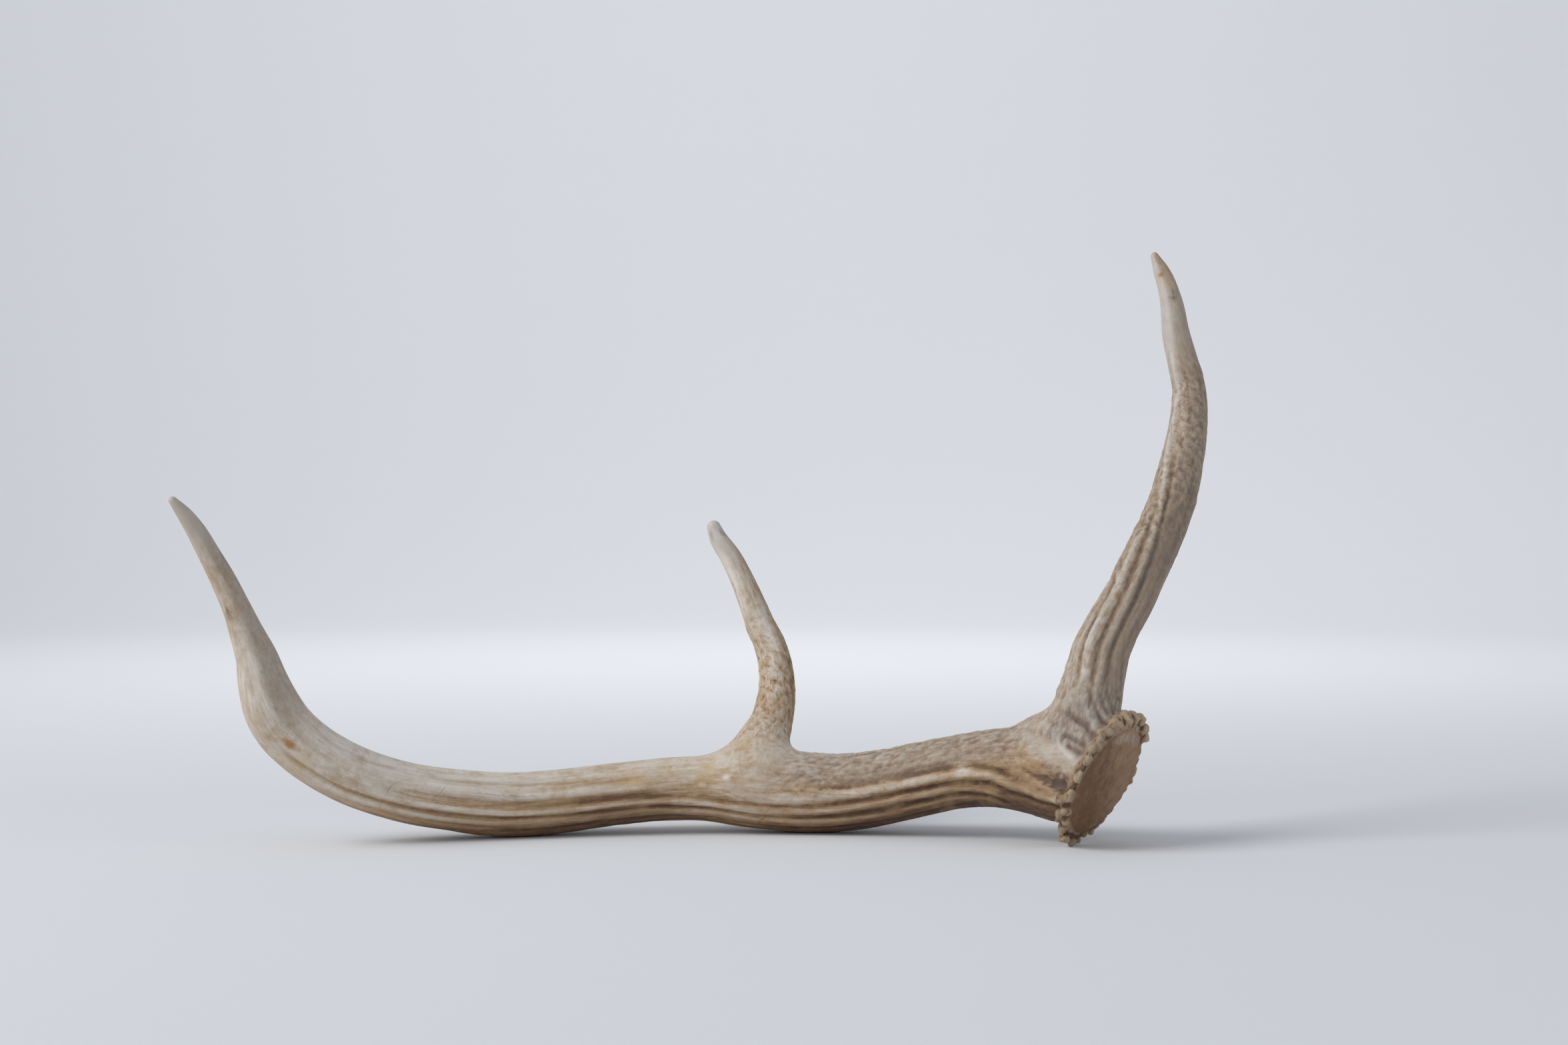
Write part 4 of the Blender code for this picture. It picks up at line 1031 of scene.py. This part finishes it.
def add_mark(mesh, name, values):
    """Keep values at a mesh's points under a name that the finish reads."""
    kind = "FLOAT_VECTOR" if values.ndim > 1 else "FLOAT"
    mark = mesh.attributes.new(name, kind, "POINT")
    mark.data.foreach_set("vector" if values.ndim > 1 else "value", values.astype(float).ravel())


def grow_skin(antler, step, ridge_height, pit_depth):
    """The antler as one closed, detailed skin with the marks of its finish."""
    mesh = joined_blank(antler)
    for rounds in (4, 3):
        write_points(mesh, antler.settle(read_points(mesh), rounds))
        pairs, count = edge_pairs(mesh)
        write_points(mesh, evened(read_points(mesh), pairs, count, 3))
    write_points(mesh, antler.settle(read_points(mesh), 3))
    mesh = one_skin(mesh, step)
    pairs, count = edge_pairs(mesh)
    points = antler.settle(evened(read_points(mesh), pairs, count, 2), 3)
    points = antler.settle(evened(points, pairs, count, 1), 3)
    write_points(mesh, points)
    seen = antler.survey(points)
    normals = read_rows(mesh.vertices, "normal", 3)
    sunk = ((evened(points, pairs, count, 8) - points) * normals).sum(axis=1)
    knob_hollow = np.clip(sunk / KNOB_DIP, 0.0, 1.0)

    height, dips, grooves = antler.relief(seen, pit_depth)
    _, burr = seal_and_burr(seen)
    height = (height + burr * knob_lumps(points)) * ridge_height
    write_points(mesh, points + height[:, None] * normals)
    hollow = np.clip((evened(height, pairs, count, 24) - height) / FURROW_DIP, -1.0, 1.0)
    marks = bone_marks(antler, seen, np.maximum(hollow, 0.0), knob_hollow)
    marks["dips"] = dips
    marks["lines"] = np.minimum(grooves, 0.8) * (1.0 - 0.8 * seen["crisp"][0])
    crest = (marks["crest"] + np.maximum(-hollow, 0.0) * 0.4) * (1.0 - burr)
    marks["crest"] = np.clip(crest + np.clip(-sunk / KNOB_RISE, 0.0, 1.0) * burr, 0.0, 1.0)
    for name, values in marks.items():
        add_mark(mesh, name, values)
    add_mark(mesh, "beam_grain", seen["beam_grain"])
    add_mark(mesh, "tine_grain", seen["tine_grain"])
    add_mark(mesh, "skin_way", read_rows(mesh.vertices, "normal", 3))
    return mesh


def part_at(sketch, cut):
    """Open a skin all round where a tine leaves it."""
    point, axis, reach = placed(cut[0]) * MM, unit(cut[1]), cut[2] * MM
    faces = [face for face in sketch.faces
             if (face.calc_center_median() - Vector(point)).length < reach]
    edges = {edge for face in faces for edge in face.edges}
    points = {vert for face in faces for vert in face.verts}
    found = bmesh.ops.bisect_plane(sketch, geom=[*faces, *edges, *points], plane_co=point,
                                   plane_no=axis, dist=1e-7)
    ring = [piece for piece in found["geom_cut"] if isinstance(piece, bmesh.types.BMEdge)]
    bmesh.ops.split_edges(sketch, edges=ring)


def island(sketch, seed):
    """All faces joined to the face that lies nearest to a point."""
    sketch.faces.ensure_lookup_table()
    goal = Vector(placed(seed) * MM)
    start = min(sketch.faces, key=lambda face: (face.calc_center_median() - goal).length)
    known = {start}
    waiting = [start]
    while waiting:
        for edge in waiting.pop().edges:
            for face in edge.link_faces:
                if face not in known:
                    known.add(face)
                    waiting.append(face)
    return known


def cut_piece(name, seed):
    """One branch of the grown skin, closed where it was parted, as a named object."""
    skin = bpy.data.meshes.get("antler_skin")
    if skin is None:
        raise RuntimeError("The skin has to be grown before a piece is cut from it")
    sketch = bmesh.new()
    sketch.from_mesh(skin)
    for cut in (BROW_CUT, MIDDLE_CUT):
        part_at(sketch, cut)
    kept = island(sketch, seed)
    bmesh.ops.delete(sketch, geom=[face for face in sketch.faces if face not in kept],
                     context="FACES")
    rim = [edge for edge in sketch.edges if edge.is_boundary]
    caps = bmesh.ops.holes_fill(sketch, edges=rim, sides=0)["faces"]
    if not caps:
        raise RuntimeError(f"{name} could not be closed where it was parted")
    for face in sketch.faces:
        face.smooth = True
        face.material_index = 0
    caps = bmesh.ops.triangulate(sketch, faces=caps)["faces"]
    for face in caps:
        face.smooth = False
    mesh = new_mesh(name, sketch)
    keep_skin_normals(mesh)
    return new_object(name, mesh)


def keep_skin_normals(mesh):
    """Shade a cut piece with the normals of the uncut skin, so that no seam shows."""
    way = read_rows(mesh.attributes["skin_way"].data, "vector", 3)
    corners = read_rows(mesh.loops, "vertex_index", 1, np.int64).ravel()
    normals = unit(way)[corners]
    for face in mesh.polygons:
        if not face.use_smooth:
            normals[face.loop_start:face.loop_start + face.loop_total] = face.normal
            face.use_smooth = True
    mesh.normals_split_custom_set(normals.tolist())


class Wire:
    """A shader socket that sums can be written with; each sum adds a Math node."""

    def __init__(self, tree, socket):
        self.tree = tree
        self.socket = socket

    def sum_up(self, operation, *values):
        """A Math node fed with sockets or numbers."""
        node = self.tree.nodes.new("ShaderNodeMath")
        node.operation = operation
        for slot, value in zip(node.inputs, values):
            feed(self.tree, slot, value)
        return Wire(self.tree, node.outputs[0])

    def __add__(self, other):
        return self.sum_up("ADD", self, other)

    def __sub__(self, other):
        return self.sum_up("SUBTRACT", self, other)

    def __rsub__(self, other):
        return self.sum_up("SUBTRACT", other, self)

    def __mul__(self, other):
        return self.sum_up("MULTIPLY", self, other)

    def __abs__(self):
        return self.sum_up("ABSOLUTE", self)

    __radd__ = __add__
    __rmul__ = __mul__


def feed(tree, slot, value):
    """Link a wire to a socket, or set the socket to a value."""
    if isinstance(value, Wire):
        tree.links.new(value.socket, slot)
    else:
        slot.default_value = value


class Finish:
    """A material being wired up round its Principled shader."""

    def __init__(self, name, colours=None):
        self.material = bpy.data.materials.new(name)
        self.material.use_nodes = True
        self.tree = self.material.node_tree
        self.shader = self.tree.nodes["Principled BSDF"]
        self.colours = colours

    def node(self, kind, settings=None, values=None, out=0):
        """A node of any kind: its settings first, then its sockets' values or links."""
        node = self.tree.nodes.new(kind)
        for name, value in (settings or {}).items():
            setattr(node, name, value)
        for name, value in (values or {}).items():
            feed(self.tree, node.inputs[name], value)
        return Wire(self.tree, node.outputs[out])

    def mark(self, name, out="Fac"):
        """A mark kept at the skin's points."""
        return self.node("ShaderNodeAttribute", {"attribute_name": name}, out=out)

    def speckle(self, place, scale, detail=2.0, roughness=0.5, distortion=0.0):
        """Noise round 0, from about -0.5 to 0.5."""
        return self.node("ShaderNodeTexNoise", {"noise_dimensions": "3D"},
                         {"Vector": place, "Scale": scale, "Detail": detail,
                          "Roughness": roughness, "Distortion": distortion}) - 0.5

    def woven(self, stretch, scale, detail, roughness):
        """Noise drawn out along the grain of the beam and of the tines, each where it rules."""
        found = []
        for name in ("beam_grain", "tine_grain"):
            drawn = self.node("ShaderNodeVectorMath", {"operation": "MULTIPLY_ADD"},
                              {0: self.mark(name, "Vector"), 1: (1.0 / stretch, 1.0, 1.0),
                               2: (stretch, scale, detail)})
            found.append(self.speckle(drawn, scale, detail, roughness))
        return found[0] + (found[1] - found[0]) * self.mark("tine")

    def ramp(self, value, low, high):
        """0 at low, 1 at high, smooth and held between them."""
        return self.node("ShaderNodeMapRange", {"interpolation_type": "SMOOTHSTEP"},
                         {"Value": value, "From Min": low, "From Max": high})

    def share(self, value, low, high):
        """0 at low, 1 at high, straight and held between them."""
        return self.node("ShaderNodeMapRange", None,
                         {"Value": value, "From Min": low, "From Max": high})

    def shade(self, name):
        """One of the finish's named colours."""
        return (*getattr(self.colours, name), 1.0)

    def laid(self, under, share, over):
        """A colour, or a named one, laid over another by a share."""
        over = self.shade(over) if isinstance(over, str) else over
        return self.node("ShaderNodeMix", {"data_type": "RGBA", "clamp_factor": True},
                         {0: share, 6: under, 7: over}, out=2)

    def set(self, name, value):
        """Set or link one of the shader's own sockets."""
        feed(self.tree, self.shader.inputs[name], value)


def bone_finish(colours):
    """Weathered antler bone: ivory to tan streaks, brown hollows, stains, knobs, cracks, painted
    shade.
    """
    finish = Finish("antler_bone", colours)
    mark, ramp, laid = finish.mark, finish.ramp, finish.laid
    place = finish.node("ShaderNodeTexCoord", out="Object")
    streak = finish.woven(10.0, 0.55, 4.0, 0.62)
    dash = finish.woven(4.0, 0.75, 4.0, 0.65)
    line = finish.woven(26.0, 0.42, 2.0, 0.45)
    cloud = finish.speckle(place, 90.0, 3.0, 0.55)
    blotch = finish.speckle(place, 190.0, 2.0, 0.6)
    mottle = finish.speckle(place, 380.0, 4.0, 0.62)
    worm = finish.speckle(place, 520.0, 1.0, 0.5, 0.6)
    dust = finish.speckle(place, 1500.0, 3.0, 0.6)
    hollow, dips, polish, seal = mark("hollow"), mark("dips"), mark("polish"), mark("seal")

    worms = mark("worms") * ramp(worm + mottle * 0.4, 0.02, 0.2)
    line = ramp(abs(line), 0.07, 0.0) * mark("lines")
    tone = mark("tone") + streak * 0.42 + dash * 0.44 + cloud * 0.12 + mottle * 0.18
    tone = tone + dust * 0.16 + hollow * 0.3 + dips * 0.3 + worms * 0.25 + line * 0.13
    tone = tone - mark("crest") * ramp(streak + dash * 0.6, -0.3, 0.15) * 0.38
    tone = tone + mark("dark") * 0.35 - mark("pale") * 0.4
    bone = laid(finish.shade("pale"), finish.share(tone, 0.0, 0.25), "ivory")
    bone = laid(bone, finish.share(tone, 0.25, 0.5), "tan")
    bone = laid(bone, finish.share(tone, 0.5, 0.75), "brown")
    bone = laid(bone, finish.share(tone, 0.75, 1.0), "deep")
    bone = laid(bone, ramp(cloud + mottle * 0.5, -0.02, 0.3) * 0.5, "honey")
    bone = laid(bone, mark("dun") * (0.5 + mottle * 0.6), "dun")
    bone = laid(bone, mark("violet") * (0.3 + dash * 1.5 + hollow * 0.4 + dips * 0.4), "violet")
    bone = laid(bone, polish * (0.6 + streak * 0.8), "tip")
    bone = laid(bone, mark("soot") * ramp(dash + mottle, -0.2, 0.2), "soot")

    knob = laid(finish.shade("knob"), ramp(blotch + mottle * 0.5, -0.16, 0.12), "tan")
    top = mark("crest") - mottle * 0.8 - dust * 0.4
    knob = laid(knob, ramp(top, 0.4, 1.2) * 0.6, "knob_top")
    knob = laid(knob, mark("stain") * (0.35 + blotch * 0.6), "deep")
    knob = laid(knob, ramp(blotch + dust * 0.6, 0.08, 0.3) * 0.5, "violet")
    knob = laid(knob, ramp(hollow + mottle * 0.6, 0.15, 0.8), "brown")
    knob = laid(knob, ramp(hollow + mottle * 0.3, 0.6, 1.0) * 0.6, "deep")
    bone = laid(bone, mark("burr") * 0.92, knob)

    stain = mark("stain") * 0.6 + cloud * 0.5 + blotch * 0.9 + mottle * 0.5 + dust * 0.4
    face = laid(finish.shade("seal"), ramp(stain, -0.35, 0.7), "seal_dark")
    face = laid(face, ramp(dust + mottle * 0.3, 0.14, 0.26) * 0.35, "deep")
    face = laid(face, mark("band") * ramp(mottle + dust * 0.3, 0.6, -0.6) * 0.5, "tip")
    bone = laid(bone, seal, face)

    bone = laid(bone, mark("yellow") * ramp(mottle + cloud, -0.3, 0.15) * 0.8, "yellow")
    bone = laid(bone, ramp(mark("ochre") + mottle * 0.8, 0.15, 0.95) * 0.9, "ochre")
    wander = mark("crack_gap") + mottle * 1.8 + dust * 0.4
    crack = ramp(abs(wander), 0.17, 0.04) * mark("crack_width")
    bone = laid(bone, crack * 0.85, "deep")

    finish.set("Base Color", bone)
    finish.set("Roughness", 0.6 + hollow * 0.15 - polish * 0.2 + dash * 0.15)
    finish.set("Specular IOR Level", 0.35)
    height = (dash * 0.45 + streak * 0.3 - line * 0.35) * (1.0 - seal)
    height = height + dust * 0.3 - crack + mottle * 0.35 * (1.0 - polish)
    finish.set("Normal", finish.node("ShaderNodeBump", None, {
        "Strength": 0.6, "Distance": 0.0004, "Height": height}))
    return finish.material


class AntlerShape(bpy.types.PropertyGroup):
    """How finely the bone is modelled and how strong its relief is."""

    skin_step: FloatProperty(name="Skin step", description="Size of the skin's small faces",
                             default=0.0008, min=0.0006, max=0.003, unit="LENGTH", precision=5)
    ridge_height: FloatProperty(name="Relief", description="Strength of the relief, 1 as found",
                                default=1.0, min=0.0, max=2.0, subtype="FACTOR")
    pit_depth: FloatProperty(name="Pit depth", description="Depth of the small pits",
                             default=0.0005, min=0.0, max=0.002, unit="LENGTH", precision=5)


def colour_property(label, words, red, green, blue):
    """A colour that the panel offers, from its display values."""
    return FloatVectorProperty(name=label, description=words, subtype="COLOR", size=3,
                               default=paint(red, green, blue), min=0.0, max=1.0)


class AntlerColours(bpy.types.PropertyGroup):
    """The colours that the bone's finish is mixed from."""

    pale: colour_property("Pale", "Worn crests and the palest streaks", 232, 222, 210)
    ivory: colour_property("Ivory", "Ground colour of the clean bone", 208, 193, 176)
    tan: colour_property("Tan", "Warm ground of the beam's side", 176, 147, 115)
    # Brown and deep brown also lay painted shade on the beam's underside, over its real stain.
    brown: colour_property("Brown", "Stained lower side and furrows", 126, 95, 68)
    deep: colour_property("Deep brown", "Underside, crevices and cracks", 84, 62, 49)
    # Dun also greys the sides of the brow tine and the beam's tip away from the light: partly
    # painted shade.
    dun: colour_property("Dun", "Greyer ground on the brow tine and the beam's tip", 154, 143, 132)
    violet: colour_property("Violet grey", "Pitted zone above the burr", 116, 102, 96)
    honey: colour_property("Honey", "Yellower clouds in the bone", 176, 147, 108)
    tip: colour_property("Tip grey", "Polished tips", 204, 198, 190)
    soot: colour_property("Soot", "Small grey smudges", 112, 106, 100)
    knob: colour_property("Knob tan", "Sides of the burr's knobs", 172, 148, 124)
    knob_top: colour_property("Knob cream", "Tops of the burr's knobs", 204, 187, 152)
    seal: colour_property("Seal tan", "Face of the pedicle seal", 164, 129, 96)
    seal_dark: colour_property("Seal brown", "Clouds on the pedicle seal", 113, 79, 50)
    yellow: colour_property("Yellow", "Faint yellow patches", 208, 176, 122)
    ochre: colour_property("Ochre", "Orange stains", 172, 124, 66)


class StudioSettings(bpy.types.PropertyGroup):
    """The pale floor and the soft lights."""

    floor_colour: colour_property("Floor", "Colour of the floor", 236, 237, 239)
    sky_colour: colour_property("Sky", "Colour of the light from all round", 222, 228, 236)
    floor_radius: FloatProperty(name="Floor radius", description="Half the width of the floor",
                                default=3.0, min=1.0, unit="LENGTH")
    sky: FloatProperty(name="Sky strength", description="Strength of the light from all round",
                       default=0.52, min=0.0)
    main_power: FloatProperty(name="Main light", description="Light from the upper left",
                              default=7.2, min=0.0, unit="POWER")
    back_power: FloatProperty(name="Back light", description="Light on the far floor",
                              default=17.0, min=0.0, unit="POWER")
    fill_power: FloatProperty(name="Fill light", description="Light from the right",
                              default=2.0, min=0.0, unit="POWER")


class ANTLER_OT_grow_skin(bpy.types.Operator):
    """Grow the uncut skin that the three pieces are parted from"""

    bl_idname = "antler.grow_skin"
    bl_label = "Grow skin"

    def execute(self, context):
        shape = context.scene.antler_shape
        mesh = grow_skin(Antler(), shape.skin_step / MM, shape.ridge_height, shape.pit_depth / MM)
        mesh.name = "antler_skin"
        bone_finish(context.scene.antler_colours)
        return {"FINISHED"}


def dress(name, seed, node):
    """Cut a piece from the skin, give it its finish and let it stand for its solid."""
    piece = cut_piece(name, seed)
    piece.data.materials.append(bpy.data.materials["antler_bone"])
    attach(piece, "root")
    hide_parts(node)
    return piece


class ANTLER_OT_beam(bpy.types.Operator):
    """Cut the main beam, with its burr and pedicle seal, from the skin"""

    bl_idname = "antler.beam"
    bl_label = "Main beam"

    def execute(self, context):
        dress("beam_with_burr", BEAM_LINE[0][:3], "main_beam")
        return {"FINISHED"}


class ANTLER_OT_tines(bpy.types.Operator):
    """Cut the brow tine and the middle tine from the skin"""

    bl_idname = "antler.tines"
    bl_label = "Tines"

    def execute(self, context):
        dress("long_brow_tine", BROW_LINE[0][:3], "brow_tine")
        dress("short_middle_tine", MIDDLE_LINE[0][:3], "middle_tine")
        bpy.data.meshes.remove(bpy.data.meshes["antler_skin"])
        return {"FINISHED"}


def floor_dish(radius):
    """A flat round floor whose far edge curves up."""
    profile = [(0.0, 0.0), (radius * FLAT_SHARE * 0.5, 0.0), (radius * FLAT_SHARE, 0.0)]
    curved = radius * (1.0 - FLAT_SHARE)
    steps = 12
    for index in range(1, steps + 1):
        turn = math.pi / 2 * index / steps
        profile.append((radius * FLAT_SHARE + curved * math.sin(turn),
                        curved * (1.0 - math.cos(turn))))
    sketch = bmesh.new()
    rows = [sketch.verts.new((across, 0.0, height)) for across, height in profile]
    line = [sketch.edges.new(pair) for pair in zip(rows, rows[1:])]
    bmesh.ops.spin(sketch, geom=[*rows, *line], cent=(0.0, 0.0, 0.0), axis=(0.0, 0.0, 1.0),
                   angle=math.tau, steps=64)
    bmesh.ops.remove_doubles(sketch, verts=sketch.verts, dist=0.0001)
    bmesh.ops.recalc_face_normals(sketch, faces=sketch.faces)
    for face in sketch.faces:
        face.smooth = True
    return new_object("floor", new_mesh("floor", sketch))


def floor_finish(colour):
    """Matt pale paint with the faintest unevenness."""
    finish = Finish("pale_floor")
    place = finish.node("ShaderNodeTexCoord", out="Object")
    cloud = finish.speckle(place, 3.0, 3.0)
    finish.set("Base Color", (*colour, 1.0))
    finish.set("Roughness", 0.85 + cloud * 0.1)
    finish.set("Specular IOR Level", 0.2)
    return finish.material


def soft_light(name, power, place, aim, size, spread):
    """A large square light that faces a point; a small spread keeps it off the floor below it."""
    lamp = bpy.data.lights.new(name, "AREA")
    lamp.size = size
    lamp.spread = math.radians(spread)
    lamp.energy = power
    light = new_object(name, lamp)
    light.location = place
    light.rotation_euler = (Vector(aim) - Vector(place)).to_track_quat("-Z", "Y").to_euler()
    light.visible_camera = False


class ANTLER_OT_studio(bpy.types.Operator):
    """Lay the pale floor, hang the lights and stand the camera"""

    bl_idname = "antler.studio"
    bl_label = "Studio"

    def execute(self, context):
        scene = context.scene
        studio = scene.antler_studio
        floor = floor_dish(studio.floor_radius)
        floor.data.materials.append(floor_finish(studio.floor_colour))
        soft_light("main_light", studio.main_power, *MAIN_LIGHT)
        soft_light("fill_light", studio.fill_power, *FILL_LIGHT)
        soft_light("back_light", studio.back_power, *BACK_LIGHT)
        world = bpy.data.worlds.new("even_sky")
        world.use_nodes = True
        sky = world.node_tree.nodes["Background"]
        sky.inputs["Color"].default_value = (*studio.sky_colour, 1.0)
        sky.inputs["Strength"].default_value = studio.sky
        scene.world = world
        scene.view_settings.view_transform = "Standard"
        lens = bpy.data.cameras.new("camera")
        lens.lens = CAMERA_LENS
        lens.sensor_width = CAMERA_SENSOR
        lens.clip_start = 0.01
        camera = new_object("camera", lens)
        camera.location = CAMERA_PLACE
        camera.rotation_euler = (math.pi / 2, 0.0, 0.0)
        scene.camera = camera
        return {"FINISHED"}


class ANTLER_PT_panel(bpy.types.Panel):
    """Sizes, colours and steps of the antler"""

    bl_idname = "ANTLER_PT_panel"
    bl_label = "Shed antler"
    bl_space_type = "VIEW_3D"
    bl_region_type = "UI"
    bl_category = "Antler"

    def draw(self, context):
        for group in (context.scene.antler_shape, context.scene.antler_colours,
                      context.scene.antler_studio):
            box = self.layout.box()
            for name in group.__annotations__:
                box.prop(group, name)
        for step in STEPS:
            self.layout.operator(step.bl_idname)


STEPS = (ANTLER_OT_grow_skin, ANTLER_OT_beam, ANTLER_OT_tines, ANTLER_OT_studio)
GROUPS = {"antler_shape": AntlerShape, "antler_colours": AntlerColours,
          "antler_studio": StudioSettings}


def register():
    for kind in (*GROUPS.values(), *STEPS, ANTLER_PT_panel):
        bpy.utils.register_class(kind)
    for name, group in GROUPS.items():
        setattr(bpy.types.Scene, name, PointerProperty(type=group))


def unregister():
    for name in GROUPS:
        delattr(bpy.types.Scene, name)
    for kind in (ANTLER_PT_panel, *reversed(STEPS), *GROUPS.values()):
        bpy.utils.unregister_class(kind)


def main():
    """Build the antler and its studio."""
    register()
    bpy.ops.antler.grow_skin()
    bpy.ops.antler.beam()
    bpy.ops.antler.tines()
    bpy.ops.antler.studio()
    bpy.context.view_layer.update()


if __name__ == "__main__":
    main()
